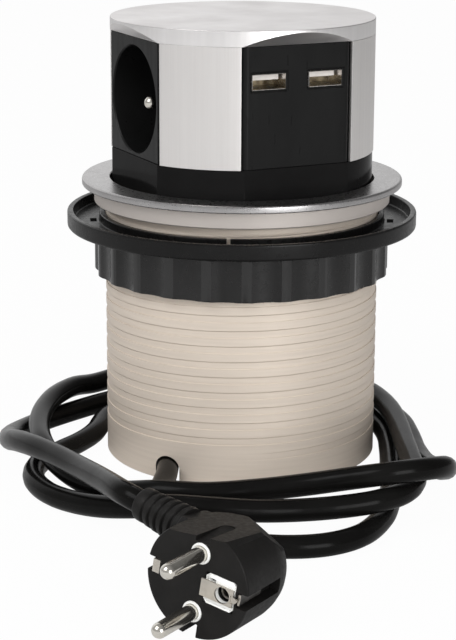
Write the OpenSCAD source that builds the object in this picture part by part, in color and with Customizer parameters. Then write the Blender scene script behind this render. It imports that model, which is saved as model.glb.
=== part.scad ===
// Pop up desk socket. A sprung head with three sockets and two charging ports sinks into a
// threaded tube. A flange above and a pressure ring with its nut below clamp a desk top.
// Sizes are in millimetres. Up is +Z and the tube stands on z = 0.

/* [Tube] */
// Outside diameter over the thread
tube_d = 100; // [92:1:112]
// Wall thickness
tube_wall = 1.6; // [1.3:0.1:2]
// Height from the base to the underside of the flange
tube_h = 100.6; // [97:0.2:120]
// Distance from one thread line to the next
thread_pitch = 5.6; // [4:0.2:7]
// Depth of the thread
thread_depth = 0.45; // [0.3:0.05:0.7]
// Height of the plain band under the thread
plain_band = 18.3; // [12:0.1:24]

/* [Flange] */
// How far the flange stands out past the tube
flange_reach = 8.4; // [6:0.2:12]
// Thickness of the flange
flange_t = 2.6; // [2:0.1:4]
// Bevel on the flange's top edge
flange_bevel = 0.9; // [0.4:0.1:1.5]
// Wall of the neck under the flange
neck_wall = 4; // [3:0.2:5]
// Height of the neck under the flange
neck_h = 6.3; // [4:0.1:8]

/* [Pressure ring and nut] */
// How far the ring's rim stands out past the tube
ring_reach = 13.9; // [11:0.1:18]
// Height of the ring's rim
ring_h = 5.8; // [4.5:0.1:8]
// Thickness of the ring's floor
ring_floor = 2; // [1.5:0.1:3]
// Width of the ring's lip
ring_lip = 2.2; // [1.5:0.1:3]
// Gap for the desk top, from the lip to the flange
desk_gap = 9.6; // [6:0.2:20]
// Height of the nut under the ring
nut_h = 17; // [12:0.5:22]
// Wall of the nut at the crests of its grip
nut_wall = 4; // [3:0.2:6]
// Number of grip hollows round the nut
grip_count = 24; // [14:1:30]
// Depth of each grip hollow
grip_depth = 1.5; // [1:0.1:2.2]
// How far round the nut stands at rest, in degrees
grip_turn = 13; // [0:1:15]

/* [Head] */
// Width of each of the four flats
flat_w = 42.3; // [41:0.1:46]
// Height of the faces
face_h = 42.4; // [41:0.2:45]
// Height of the black collar that shows above the flange
collar_show = 10.2; // [6:0.2:12]
// Height of the cap
cap_h = 5.5; // [4:0.1:7]
// Height of the slanted facet under the cap's edge
cap_facet = 4.5; // [2:0.1:5]
// Thickness of the curved corner panels
panel_t = 1.2; // [0.8:0.1:1.6]
// Thickness of the face plates
plate_t = 2.5; // [2:0.1:3.5]
// Wall of the inner frame and of the collar
head_wall = 2; // [1.6:0.1:2.6]

/* [Sockets] */
// Diameter of a socket well
well_d = 38; // [36:0.5:38.5]
// Depth of a socket well
well_depth = 17; // [15:0.5:18]
// How far the wells sit below the middle of the face
well_drop = 1; // [0:0.1:1.2]
// Distance between the two contacts
contact_pitch = 19; // [18.5:0.1:19.5]
// Distance of the earth pin from the line of the contacts
earth_offset = 9.5; // [9:0.5:11]
// Diameter of the earth pin
earth_d = 4.8; // [4:0.1:5.2]
// Length of the earth pin above the well's floor
earth_len = 17; // [12:0.5:18]

/* [Charging ports] */
// Width of a port's opening
port_w = 13.4; // [12.5:0.1:14]
// Height of a port's opening
port_h = 5.9; // [5.4:0.1:6.4]
// Distance between the two ports
port_pitch = 21.8; // [18:0.2:24]
// Distance of the ports below the cap
port_drop = 12.3; // [8:0.1:20]
// Depth of the ports
port_depth = 12; // [9:0.5:15]

/* [Mechanism] */
// Thickness of the bottom cover
cover_t = 4; // [3:0.5:5]
// Height of the head's base plate above the base when the head is down
closed_floor = 22.3; // [20:0.1:25]
// Thickness of the head's base plate
base_t = 4; // [3:0.5:5]
// Mean diameter of the lift spring
spring_d = 36; // [30:1:44]
// Wire of the lift spring
spring_wire = 1.5; // [1:0.1:2]
// Width of the guide rails
rail_w = 6; // [4:0.5:8]

/* [Cord and plug] */
// Diameter of the cord
cord_d = 7.8; // [6:0.2:8.4]
// Diameter of the plug's face
plug_d = 35.4; // [34:0.2:38]
// Depth of the plug behind its face
plug_depth = 27.5; // [24:0.5:32]
// Length of the plug's pins
plug_pin_len = 19; // [18:0.5:20]
// Length of the plug's bend relief
boot_len = 21; // [16:0.5:26]

/* [Hidden] */
$fn = 96;
// Clearance between faces that move past each other
slide_gap = 0.4;
// Clearance between faces that are fixed together
fit_gap = 0.05;

// Radii worked out from the tube
tube_r = tube_d / 2;
tube_in_r = tube_r - tube_wall;
root_r = tube_r - thread_depth;
hole_r = tube_in_r - 0.2;
head_r = hole_r - 0.5;
flange_r = tube_r + flange_reach;
neck_r = tube_r + neck_wall;
ring_r = tube_r + ring_reach;
nut_r = tube_r + nut_wall;
nut_bore_r = tube_r + slide_gap;

// Heights worked out from the tube and the head
flange_top = tube_h + flange_t;
collar_top = flange_top + collar_show;
cap_z = collar_top + face_h;
head_top = cap_z + cap_h;
head_rise = head_top - flange_top;
base_bot = closed_floor + head_rise;
base_top = base_bot + base_t;
ring_top = tube_h - desk_gap;
ring_bot = ring_top - ring_h;
nut_bot = ring_bot - nut_h;

// The head's outline
flat_dist = sqrt(head_r * head_r - flat_w * flat_w / 4);
flat_angle = asin(flat_w / 2 / head_r);
frame_flat = flat_dist - plate_t - fit_gap;
frame_r = head_r - panel_t - fit_gap;
plate_w = flat_w - 1;
well_r = well_d / 2;
well_z = collar_top + face_h / 2 - well_drop;
cup_r = well_r + 1;
cup_floor = 2.5;
port_z = cap_z - port_drop;
shell_t = 0.4;
board_t = 1.6;
board_h = 30;
board_drop = 22;
board_inset = 3;

// The latch, between the cover and the head's base plate
latch_h = 12;
latch_top = cover_t + latch_h;
latch_pocket = 10.5;
plunger_h = 5.5;
plunger_top = latch_top - 0.5;
pocket_floor = latch_top - latch_pocket;
striker_len = closed_floor - plunger_top - 0.3;

// The rails
rail_in = flat_dist + 0.5;
rail_mid = (rail_in + tube_in_r - fit_gap) / 2;
boss_r = head_r - head_wall - 2.8;
rail_top = flange_top - cap_h - slide_gap;

// How the cord and the plug lie, in a frame turned about the tube's axis
lay_turn = -26.35;
cord_r = cord_d / 2;
lay_xy = (tube_r + cord_r + 0.4) / 54.3;
lay_z = cord_d / 7.8;
exit_x = -26 * lay_xy;
floor_gap = 0.1;
exit_z = 4.5 * lay_z + floor_gap;
cord_in = -17 * lay_xy;
clamp_y = -25 * lay_xy;
clamp_screw_x = 6.4;
flex_r = 2.6;
flex_from = 10;
flex_sweep = 300;
plug_r = plug_d / 2;
plug_at = [-12.5 * lay_xy, -183.6 * lay_xy, plug_r];
plug_heading = -122.6;
plug_roll = -9.5;
boot_root = [-18.5, 2.5 - plug_r, 5];
boot_back = 10;

// The plug's flat and grooves, and the earth contact in its face
plug_flat = plug_r - 3.1;
plug_flat_slope = 5.3;
groove_w = 4.8;
groove_len = 13;
groove_floor = plug_r - 4.7;
clip_slot_len = 18;
clip_slot_depth = 3.6;
clip_t = 0.9;
surround_w = 10.5;
surround_h = 9.8;
surround_in = earth_offset - 6.6;

// The cord's route from the tube, hand laid: first round, second, third, and the run to the plug
round_one = [
    [-26, -17, 4.5], [-26, -33, 4.5], [-26, -48, 4.3], [-27.5, -64, 4], [-26.5, -81, 4], [-20.5, -98, 4],
    [-8, -111.5, 4], [9, -118.5, 4], [26, -117.5, 4], [39, -109, 4], [47, -94, 4], [51, -77, 4], [53, -59, 4],
    [54, -40, 4], [55, -20, 4], [54.8, 2, 4], [49.5, 24, 4], [36, 42, 4], [14, 54, 4], [-13, 54, 4],
    [-37, 41, 4], [-51, 21.5, 4]];
round_two = [
    [-55, 0, 4], [-60, -13, 4], [-66.5, -24, 4], [-71.5, -34, 4], [-73.5, -46, 4], [-71.5, -58.5, 4],
    [-65, -71, 4.2], [-56, -81.5, 5.2], [-46, -91, 7.2], [-35, -99.5, 10.2], [-22.5, -105, 12.7],
    [-9, -106.5, 12.4], [5, -105.5, 11.3], [19, -103.5, 10.9], [33, -102, 11.6], [45.5, -99, 12.6],
    [55, -91, 12.9], [59.5, -79, 12.9], [60, -65, 12.9], [59.5, -50, 12.8], [59, -35, 12.6], [58.5, -20, 12.5],
    [57.5, -4, 12.5], [55, 12, 12.5], [49, 29, 12.5], [37, 46, 12.5], [19, 58.5, 12.5], [-3, 66, 12.6],
    [-26, 67, 12], [-46, 59.5, 9.5]];
round_three = [
    [-58, 46, 9.6], [-66, 33, 11.8], [-72, 15, 12.8], [-74.5, -5, 12.8], [-73.5, -25, 12.8], [-70, -43, 12.7],
    [-63.5, -58, 10.6], [-53.5, -70, 8.2], [-41, -82, 9.4], [-27, -90.5, 12.6], [-11, -93.5, 13],
    [6, -92, 13.8], [22, -92, 15.8], [37, -94, 18.8], [50, -95.5, 21.2], [61, -91.5, 21.3], [68.5, -82, 18.8],
    [71, -68, 13.6], [70, -53, 8.4], [67, -37, 4.9], [64.8, -20, 4], [63.8, -2, 4], [61.3, 17.5, 4],
    [53, 37, 4], [36.5, 53.5, 4], [14, 63.2, 4], [-11, 63.5, 4], [-34, 55, 4], [-52, 40.5, 4]];
last_run = [
    [-65.5, 26, 4], [-76, 13, 4], [-82.5, -1, 5], [-85, -16, 7.5], [-83.5, -31, 11], [-79, -46, 15.4],
    [-72, -61, 18.6], [-62.5, -78, 20.8], [-53, -97, 23], [-44, -119.5, 26.7]];

// A point of the plug's own frame, seen in the frame the cord lies in
function rolled(p) = [
    p[0], p[1] * cos(plug_roll) - p[2] * sin(plug_roll), p[1] * sin(plug_roll) + p[2] * cos(plug_roll)];
function headed(p) = [
    p[0] * cos(plug_heading) - p[1] * sin(plug_heading), p[0] * sin(plug_heading) + p[1] * cos(plug_heading), p[2]];
function boot_point(s) = plug_at + headed(rolled(boot_root + s * [-sin(boot_back), -cos(boot_back), 0]));

laid = [for (p = concat(round_one, round_two, round_three, last_run)) [p[0] * lay_xy, p[1] * lay_xy, p[2] * lay_z + floor_gap]];
cord_points = concat(laid, [boot_point(boot_len + 9), boot_point(boot_len), boot_point(boot_len - 5)]);

// A smooth curve through a list of points
function curve(p, a, b, c, d, t) = 0.5 * (2 * p[b] + (p[c] - p[a]) * t
    + (2 * p[a] - 5 * p[b] + 4 * p[c] - p[d]) * t * t + (3 * p[b] - p[a] - 3 * p[c] + p[d]) * t * t * t);
function smooth(p, steps) = concat(
    [for (i = [0 : len(p) - 2]) for (k = [0 : steps - 1])
        curve(p, max(i - 1, 0), i, i + 1, min(i + 2, len(p) - 1), k / steps)],
    [p[len(p) - 1]]);
function unit(v) = v / norm(v);
function heading_at(p, i) = unit(p[min(i + 1, len(p) - 1)] - p[max(i - 1, 0)]);

cord_curve = smooth(cord_points, 3);

// The least gap between a wound piece and itself, on points at least apart steps from each other
function least_gap(p, wire, apart) = min([for (i = [0 : len(p) - 1 - apart])
    min([for (j = [i + apart : len(p) - 1]) norm(p[i] - p[j])])]) - wire;

// The coils, as lists of points
coil_gap = 0.6;
lift_turns = 10;
lift_low = cover_t + spring_wire / 2 + fit_gap;
lift_high = base_bot - spring_wire / 2 - 0.3;
lift_end = spring_wire + coil_gap;
lift_rise = lift_high - lift_low - 2 * lift_end;
lift_coil = [for (i = [0 : 16 * lift_turns]) let (n = i / 16) [
    spring_d / 2 * cos(360 * n), spring_d / 2 * sin(360 * n),
    lift_low + lift_end * (min(n, 1) + max(n - lift_turns + 1, 0)) + lift_rise * max(0, min(1, (n - 1) / (lift_turns - 2)))]];
latch_wire = 0.6;
latch_turns = 3;
latch_low = pocket_floor + 0.4;
latch_high = plunger_top - plunger_h - 0.4;
latch_coil = [for (i = [0 : 10 * latch_turns])
    [1.6 * cos(36 * i), 1.6 * sin(36 * i), latch_low + (latch_high - latch_low) * i / (10 * latch_turns)]];
flex_low = cover_t + flex_r + 0.3;
flex_high = base_bot - flex_r - 0.4;
flex_reach = norm([exit_x, cord_in]);
flex_start = atan2(cord_in, exit_x) - flex_from;
flex_coil = [for (i = [0 : 30]) let (a = flex_start - flex_sweep * i / 30)
    [flex_reach * cos(a), flex_reach * sin(a), flex_low + (flex_high - flex_low) * i / 30]];
echo(cord_gap = least_gap(smooth(cord_points, 6), cord_d, 24));
echo(lift_spring_gap = least_gap(lift_coil, spring_wire, 12));
echo(latch_spring_gap = least_gap(latch_coil, latch_wire, 8));
echo(inner_flex_gap = least_gap(flex_coil, 2 * flex_r, 15));

// Shapes that several pieces share

// A round bar that follows a list of points
module bar_along(p, r, sides) {
    rings = len(p);
    points = [for (i = [0 : rings - 1])
        let (t = heading_at(p, i), s = unit(cross(t, [0, 0, 1])), u = cross(s, t))
        for (j = [0 : sides - 1]) p[i] + r * (cos(360 * j / sides) * s + sin(360 * j / sides) * u)];
    walls = [for (i = [0 : rings - 2]) for (j = [0 : sides - 1])
        [i * sides + j, i * sides + (j + 1) % sides, (i + 1) * sides + (j + 1) % sides, (i + 1) * sides + j]];
    first = [for (j = [0 : sides - 1]) sides - 1 - j];
    last = [for (j = [0 : sides - 1]) (rings - 1) * sides + j];
    polyhedron(points, concat(walls, [first, last]), convexity = 10);
}

// A disc with four flats, as tall as h
module head_block(r, flat, h) {
    intersection() {
        cylinder(r = r, h = h);
        translate([-flat, -flat, -1]) cube([2 * flat, 2 * flat, h + 2]);
    }
}

// The frame that the cord and the plug lie in
module as_laid() {
    rotate([0, 0, lay_turn]) children();
}

// The plug's own frame: +X along the pins, +Y towards the earth hole
module plug_frame() {
    as_laid() translate(plug_at) rotate([0, 0, plug_heading]) rotate([plug_roll, 0, 0]) children();
}

// A face's own frame: +Z out of the face, +Y up, with the origin on the tube's axis
module face_frame(turn) {
    rotate([0, 0, turn]) translate([0, 0, well_z]) rotate([90, 0, 0]) children();
}

// The flat plate of a face
module face_plate() {
    low = collar_top + 0.1 - well_z;
    translate([-plate_w / 2, low, flat_dist - plate_t]) cube([plate_w, face_h - 0.2, plate_t]);
}

// A socket: its face plate and the round well behind it
module socket_shape(turn) {
    face_frame(turn) difference() {
        union() {
            face_plate();
            translate([0, 0, flat_dist - well_depth - cup_floor])
                cylinder(r = cup_r, h = well_depth + cup_floor - 0.5);
        }
        translate([0, 0, flat_dist - well_depth]) cylinder(r = well_r, h = well_depth + 1);
        for (y = [-1, 1]) translate([0, y * contact_pitch / 2, flat_dist - well_depth - cup_floor - 1])
            cylinder(r = 2.7, h = cup_floor + 2);
        translate([earth_offset, 0, flat_dist - well_depth - cup_floor - 1])
            cylinder(r = earth_d / 2 + fit_gap, h = cup_floor + 2);
    }
}

// An earth pin with its domed end
module earth_shape(turn) {
    face_frame(turn) translate([earth_offset, 0, flat_dist - well_depth - cup_floor]) union() {
        cylinder(r = earth_d / 2, h = cup_floor + earth_len - earth_d / 2);
        translate([0, 0, cup_floor + earth_len - earth_d / 2]) sphere(r = earth_d / 2);
    }
}

// The two brass sleeves behind a well
module contact_shape(turn) {
    face_frame(turn) for (y = [-1, 1])
        translate([0, y * contact_pitch / 2, flat_dist - well_depth - cup_floor - 11]) difference() {
            cylinder(r = 3.6, h = 11);
            translate([0, 0, 1]) cylinder(r = 2.6, h = 11);
        }
}

// A curved corner panel
module panel_shape(turn) {
    half = 45 - flat_angle - 0.45;
    far = 2 * head_r;
    rotate([0, 0, turn]) translate([0, 0, collar_top + fit_gap]) intersection() {
        difference() {
            cylinder(r = head_r, h = face_h - 2 * fit_gap);
            translate([0, 0, -1]) cylinder(r = head_r - panel_t, h = face_h + 2);
        }
        linear_extrude(face_h) polygon([[0, 0], [far * cos(half), -far * sin(half)], [far * cos(half), far * sin(half)]]);
    }
}

// A charging port's metal shell
module port_shell_shape(side) {
    face_frame(0) translate([side * port_pitch / 2, port_z - well_z, flat_dist - port_depth - 0.2]) difference() {
        translate([-port_w / 2, -port_h / 2, 0]) cube([port_w, port_h, port_depth]);
        translate([-port_w / 2 + shell_t, -port_h / 2 + shell_t, 1])
            cube([port_w - 2 * shell_t, port_h - 2 * shell_t, port_depth]);
    }
}

// The pale tongue inside a charging port
module port_tongue_shape(side) {
    face_frame(0) translate([side * port_pitch / 2 - 5.6, port_z - well_z + 0.3, flat_dist - port_depth + 0.8])
        cube([11.2, 1.9, port_depth - 2.2]);
}

// A guide rail with the stop that holds the head in
module rail_shape(turn) {
    rotate([0, 0, turn]) intersection() {
        union() {
            translate([rail_in, -rail_w / 2, cover_t]) cube([tube_wall + 20, rail_w, rail_top - cover_t]);
            translate([rail_in, -rail_w / 2 - 4, base_top + 0.4]) cube([tube_wall + 20, rail_w + 8, 7]);
        }
        cylinder(r = tube_in_r - fit_gap, h = tube_h);
    }
}

// The pieces

module bottom_cover() color([0.1, 0.1, 0.1]) difference() {
    cylinder(r = tube_in_r - fit_gap, h = cover_t);
    as_laid() translate([exit_x - cord_r - 0.4, -2 * tube_r, -1]) cube([cord_d + 0.8, 2 * tube_r + cord_in + 1, cover_t + 2]);
    for (x = [-rail_mid, rail_mid, -5.6, 5.6]) translate([x, 0, -1]) cylinder(r = 1.25, h = cover_t + 2);
    for (x = [-rail_mid, rail_mid, -5.6, 5.6]) translate([x, 0, -1]) cylinder(r = 2.2, h = 2.6);
    as_laid() for (x = [-1, 1]) translate([exit_x + x * clamp_screw_x, clamp_y, 0.8]) cylinder(r = 1.35, h = cover_t);
}

module cover_screws() color([0.6, 0.6, 0.62]) for (x = [-rail_mid, rail_mid, -5.6, 5.6]) translate([x, 0, 0.1]) union() {
    cylinder(r = 2.1, h = 1.4);
    cylinder(r = 1.2, h = cover_t + 4);
}

module outer_tube() color([0.77, 0.73, 0.68]) difference() {
    top = tube_h - neck_h - 0.5;
    turns = floor((top - plain_band) / thread_pitch - 0.2);
    rotate_extrude() polygon(concat(
        [[tube_in_r, 0], [tube_r, 0], [tube_r, plain_band]],
        [for (i = [0 : turns - 1]) let (z = plain_band + i * thread_pitch) for (q = [
            [root_r, z + 0.5], [root_r, z + thread_pitch / 2 - 0.5],
            [tube_r, z + thread_pitch / 2], [tube_r, z + thread_pitch]]) q],
        [[root_r, plain_band + turns * thread_pitch + 0.5], [root_r, tube_h], [tube_in_r, tube_h]]));
    as_laid() translate([exit_x - cord_r - 0.4, -2 * tube_r, -1]) cube([cord_d + 0.8, tube_r * 1.5, exit_z + 1]);
    as_laid() translate([exit_x, -tube_r / 2, exit_z]) rotate([90, 0, 0]) cylinder(r = cord_r + 0.4, h = tube_r * 1.5);
}

module flange_ring() color([0.66, 0.66, 0.66]) rotate_extrude() polygon([
    [hole_r, tube_h], [hole_r, flange_top], [flange_r - flange_bevel, flange_top],
    [flange_r, flange_top - flange_bevel * 0.8], [flange_r, tube_h + 0.4], [flange_r - 0.4, tube_h], [neck_r, tube_h],
    [neck_r, tube_h - neck_h], [root_r + 0.1, tube_h - neck_h], [root_r + 0.1, tube_h]]);

module guide_rail_left() color([0.2, 0.2, 0.2]) rail_shape(180);
module guide_rail_right() color([0.2, 0.2, 0.2]) rail_shape(0);

module latch_body() color([0.85, 0.85, 0.82]) translate([0, 0, cover_t]) difference() {
    translate([-8, -6, 0]) cube([16, 12, latch_h]);
    translate([-3.5, -2.5, latch_h - latch_pocket]) cube([7, 5, latch_h]);
    for (x = [-5.6, 5.6]) translate([x, 0, -1]) cylinder(r = 1.25, h = 5.3);
}

module latch_spring() color([0.7, 0.7, 0.72]) bar_along(latch_coil, latch_wire / 2, 5);

module latch_plunger() color([0.9, 0.5, 0.1]) translate([-3.1, -2.1, plunger_top - plunger_h]) cube([6.2, 4.2, plunger_h]);

module lift_spring() color([0.7, 0.7, 0.72]) bar_along(lift_coil, spring_wire / 2, 6);

module cord_clamp() color([0.15, 0.15, 0.15]) as_laid() translate([exit_x, clamp_y, 0]) difference() {
    translate([-8.5, -6, cover_t + fit_gap]) cube([17, 12, 8.5]);
    translate([0, 7, exit_z]) rotate([90, 0, 0]) cylinder(r = cord_r + fit_gap, h = 14);
    for (x = [-1, 1]) translate([x * clamp_screw_x, 0, 0]) cylinder(r = 1.35, h = 20);
}

module clamp_screws() color([0.6, 0.6, 0.62]) as_laid() for (x = [-1, 1]) translate([exit_x + x * clamp_screw_x, clamp_y, 1]) union() {
    cylinder(r = 1.3, h = cover_t + 8);
    translate([0, 0, cover_t + 7.6]) cylinder(r = 2.3, h = 1.5);
}

module inner_flex() color([0.5, 0.5, 0.52]) as_laid() bar_along(flex_coil, flex_r, 8);

module clamp_ring() color([0.08, 0.08, 0.08]) difference() {
    rotate_extrude() polygon([
        [nut_bore_r, ring_bot], [ring_r - 0.8, ring_bot], [ring_r, ring_bot + 0.8], [ring_r, ring_top - 0.5],
        [ring_r - 0.5, ring_top], [ring_r - ring_lip, ring_top], [ring_r - ring_lip - 0.3, ring_bot + ring_floor],
        [nut_bore_r, ring_bot + ring_floor]]);
    as_laid() for (turn = [186, 6]) rotate([0, 0, turn]) translate([tube_r + 2.6, -3, ring_bot - 1]) cube([2.4, 6, ring_floor + 2]);
}

module lock_nut() color([0.08, 0.08, 0.08]) difference() {
    cutter = 14.5;
    translate([0, 0, nut_bot]) cylinder(r = nut_r, h = nut_h);
    translate([0, 0, nut_bot - 1]) cylinder(r = nut_bore_r, h = nut_h + 2);
    for (i = [0 : grip_count - 1]) rotate([0, 0, grip_turn + 360 * i / grip_count])
        translate([nut_r - grip_depth + cutter, 0, nut_bot - 1]) cylinder(r = cutter, h = nut_h - 1);
}

module head_base() color([0.12, 0.12, 0.12]) difference() {
    translate([0, 0, base_bot]) cylinder(r = tube_in_r - 0.5, h = base_t);
    for (turn = [0, 180]) rotate([0, 0, turn]) translate([rail_in - slide_gap, -rail_w / 2 - slide_gap, base_bot - 1])
        cube([20, rail_w + 2 * slide_gap, base_t + 2]);
    for (turn = [45 : 90 : 315]) rotate([0, 0, turn]) translate([boss_r, 0, base_bot - 1]) cylinder(r = 1.55, h = base_t + 2);
    as_laid() rotate([0, 0, flex_start - flex_sweep]) translate([flex_reach, 0, base_bot - 1])
        cylinder(r = flex_r + 0.6, h = base_t + 2);
}

module base_screws() color([0.6, 0.6, 0.62]) for (turn = [45 : 90 : 315]) rotate([0, 0, turn]) translate([boss_r, 0, base_bot - 1.6]) union() {
    cylinder(r = 2.7, h = 1.6);
    cylinder(r = 1.5, h = base_t + 9);
}

module latch_striker() color([0.9, 0.5, 0.1]) translate([0, 0, base_bot]) union() {
    translate([0, 0, -striker_len]) cylinder(r1 = 1.4, r2 = 2, h = 2);
    translate([0, 0, 2 - striker_len]) cylinder(r = 1.5, h = striker_len - 3);
    translate([0, 0, -1.5]) cylinder(r = 4, h = 1.5);
}

module head_collar() color([0.05, 0.05, 0.05]) translate([0, 0, base_top]) difference() {
    h = collar_top - base_top;
    union() {
        difference() {
            head_block(head_r - 0.3, flat_dist, h);
            translate([0, 0, -1]) head_block(head_r - 0.3 - head_wall, flat_dist - head_wall, h + 2);
        }
        for (turn = [45 : 90 : 315]) rotate([0, 0, turn]) translate([boss_r, 0, 0]) cylinder(r = 3.4, h = 10);
    }
    for (turn = [45 : 90 : 315]) rotate([0, 0, turn]) translate([boss_r, 0, -1]) cylinder(r = 1.55, h = 10);
}

module head_frame() color([0.06, 0.06, 0.06]) difference() {
    translate([0, 0, collar_top]) head_block(frame_r, frame_flat, face_h);
    translate([0, 0, collar_top - 1]) head_block(frame_r - head_wall, frame_flat - head_wall, face_h - head_wall + 1);
    for (turn = [-90, 90, 180]) face_frame(turn)
        translate([-cup_r - fit_gap, -face_h, flat_dist - well_depth - cup_floor - fit_gap])
            cube([2 * cup_r + 2 * fit_gap, face_h + cup_r + fit_gap, head_r]);
    face_frame(0) translate([-port_pitch / 2 - port_w / 2 - 1, port_z - well_z - port_h / 2 - 1, 1])
        cube([port_pitch + port_w + 2, port_h + 2, head_r]);
}

module socket_left() color([0.05, 0.05, 0.05]) socket_shape(-90);
module socket_right() color([0.05, 0.05, 0.05]) socket_shape(90);
module socket_rear() color([0.05, 0.05, 0.05]) socket_shape(180);
module earth_pin_left() color([0.75, 0.74, 0.7]) earth_shape(-90);
module earth_pin_right() color([0.75, 0.74, 0.7]) earth_shape(90);
module earth_pin_rear() color([0.75, 0.74, 0.7]) earth_shape(180);
module contacts_left() color([0.8, 0.65, 0.3]) contact_shape(-90);
module contacts_right() color([0.8, 0.65, 0.3]) contact_shape(90);
module contacts_rear() color([0.8, 0.65, 0.3]) contact_shape(180);
module panel_front_left() color([0.8, 0.79, 0.77]) panel_shape(225);
module panel_front_right() color([0.8, 0.79, 0.77]) panel_shape(315);
module panel_rear_left() color([0.8, 0.79, 0.77]) panel_shape(135);
module panel_rear_right() color([0.8, 0.79, 0.77]) panel_shape(45);

module usb_face() color([0.05, 0.05, 0.05]) face_frame(0) difference() {
    face_plate();
    for (side = [-1, 1]) translate([side * port_pitch / 2 - port_w / 2 - fit_gap, port_z - well_z - port_h / 2 - fit_gap, 0])
        cube([port_w + 2 * fit_gap, port_h + 2 * fit_gap, head_r]);
}

module usb_shell_left() color([0.75, 0.75, 0.76]) port_shell_shape(-1);
module usb_shell_right() color([0.75, 0.75, 0.76]) port_shell_shape(1);
module usb_tongue_left() color([0.9, 0.9, 0.88]) port_tongue_shape(-1);
module usb_tongue_right() color([0.9, 0.9, 0.88]) port_tongue_shape(1);

module usb_board() color([0.1, 0.35, 0.2]) face_frame(0)
    translate([-plate_w / 2 + board_inset, port_z - well_z - board_drop, flat_dist - port_depth - 0.2 - board_t])
        cube([plate_w - 2 * board_inset, board_h, board_t]);

module top_cap() color([0.82, 0.81, 0.79]) difference() {
    tilt = atan(cap_facet / (head_r - flat_dist));
    translate([0, 0, cap_z]) cylinder(r = head_r, h = cap_h);
    translate([0, 0, cap_z - 1]) cylinder(r = flat_dist - 3, h = cap_h - 1);
    for (turn = [0 : 90 : 270]) rotate([0, 0, turn]) translate([flat_dist, 0, cap_z]) rotate([0, -tilt, 0])
        translate([0, -head_r, -20]) cube([30, 2 * head_r, 20]);
}

module cord() color([0.04, 0.04, 0.04]) as_laid() bar_along(cord_curve, cord_r, 10);

module plug_boot() color([0.05, 0.05, 0.05]) plug_frame() translate(boot_root) rotate([0, 0, -boot_back]) rotate([90, 0, 0]) difference() {
    ribs = 5;
    step = (boot_len - 5) / ribs;
    rotate_extrude() polygon(concat(
        [[0, 1], [6.6, 1]],
        [for (i = [0 : ribs - 1]) let (z = 3 + i * step, r = 6.6 - 0.25 * i) for (q = [
            [r, z], [r - 0.9, z + 0.4], [r - 0.9, z + 1.2], [r - 0.2, z + 1.6]]) q],
        [[5.3, boot_len - 1], [5, boot_len], [0, boot_len]]));
    translate([0, 0, boot_len - 5 - fit_gap]) cylinder(r = cord_r + fit_gap, h = 20);
}

module plug_body() color([0.05, 0.05, 0.05]) plug_frame() difference() {
    union() {
        rotate([0, -90, 0]) rotate_extrude() polygon([
            [0, 0], [plug_r - 0.6, 0], [plug_r, 0.6], [plug_r, plug_depth - 9.5], [plug_r - 1.3, plug_depth - 4.5],
            [plug_r - 3.6, plug_depth - 1], [plug_r - 5, plug_depth], [0, plug_depth]]);
        translate(boot_root) rotate([0, 0, -boot_back]) rotate([90, 0, 0]) translate([0, 0, -12]) cylinder(r1 = 8.5, r2 = 7.6, h = 13);
    }
    rotate([-plug_roll, 0, 0]) translate([0, 0, plug_flat]) rotate([0, -plug_flat_slope, 0])
        translate([-2 * plug_depth, -plug_d, 0]) cube([3 * plug_depth, 2 * plug_d, plug_r]);
    for (turn = [0, 180]) rotate([turn, 0, 0]) {
        translate([-groove_len, -groove_w / 2, groove_floor]) cube([groove_len + 1, groove_w, plug_r]);
        translate([-groove_len, 0, groove_floor]) cylinder(r = groove_w / 2, h = plug_r);
        translate([-clip_slot_len, plug_r - clip_slot_depth, -groove_w / 2]) cube([clip_slot_len + 1, plug_r, groove_w]);
    }
    for (z = [-1, 1]) translate([0, 0, z * contact_pitch / 2]) rotate([0, 90, 0]) {
        translate([0, 0, -8]) cylinder(r = 2.4 + fit_gap, h = 10);
        translate([0, 0, -1]) cylinder(r = 3.3 + fit_gap, h = 2);
    }
    translate([-1.2, surround_in - fit_gap, -surround_h / 2 - fit_gap]) cube([2, surround_w + 2 * fit_gap, surround_h + 2 * fit_gap]);
    translate([-16, earth_offset, 0]) rotate([0, 90, 0]) cylinder(r = 2.6, h = 20);
    translate(boot_root) rotate([0, 0, -boot_back]) rotate([90, 0, 0]) translate([0, 0, 1 - fit_gap]) cylinder(r = 6.6 + fit_gap, h = 40);
}

module plug_pins() color([0.78, 0.76, 0.72]) plug_frame() for (z = [-1, 1]) translate([-8, 0, z * contact_pitch / 2]) rotate([0, 90, 0]) union() {
    cylinder(r = 2.4, h = 8 + plug_pin_len - 2.4);
    translate([0, 0, 8 + plug_pin_len - 2.4]) sphere(r = 2.4);
}

module plug_collars() color([0.92, 0.92, 0.9]) plug_frame() for (z = [-1, 1]) translate([-1, 0, z * contact_pitch / 2]) rotate([0, 90, 0]) difference() {
    cylinder(r = 3.3, h = 1.4);
    translate([0, 0, -1]) cylinder(r = 2.4 + fit_gap, h = 4);
}

module plug_earth_frame() color([0.92, 0.92, 0.9]) plug_frame() difference() {
    translate([-1.2, surround_in, -surround_h / 2]) cube([1.5, surround_w, surround_h]);
    translate([-2, earth_offset, 0]) rotate([0, 90, 0]) cylinder(r = 2.6, h = 4);
}

module plug_earth_plate() color([0.78, 0.76, 0.7]) plug_frame() difference() {
    translate([0.3, surround_in - 0.5, -3.3]) cube([0.6, surround_w + 0.2, 6.6]);
    translate([-2, earth_offset, 0]) rotate([0, 90, 0]) cylinder(r = 2.6, h = 4);
}

module plug_clips() color([0.78, 0.76, 0.7]) plug_frame() for (turn = [0, 180]) rotate([turn, 0, 0])
    translate([-12, plug_r - clip_slot_depth + fit_gap, -1.8]) cube([11.7, clip_t, 3.6]);

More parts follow.
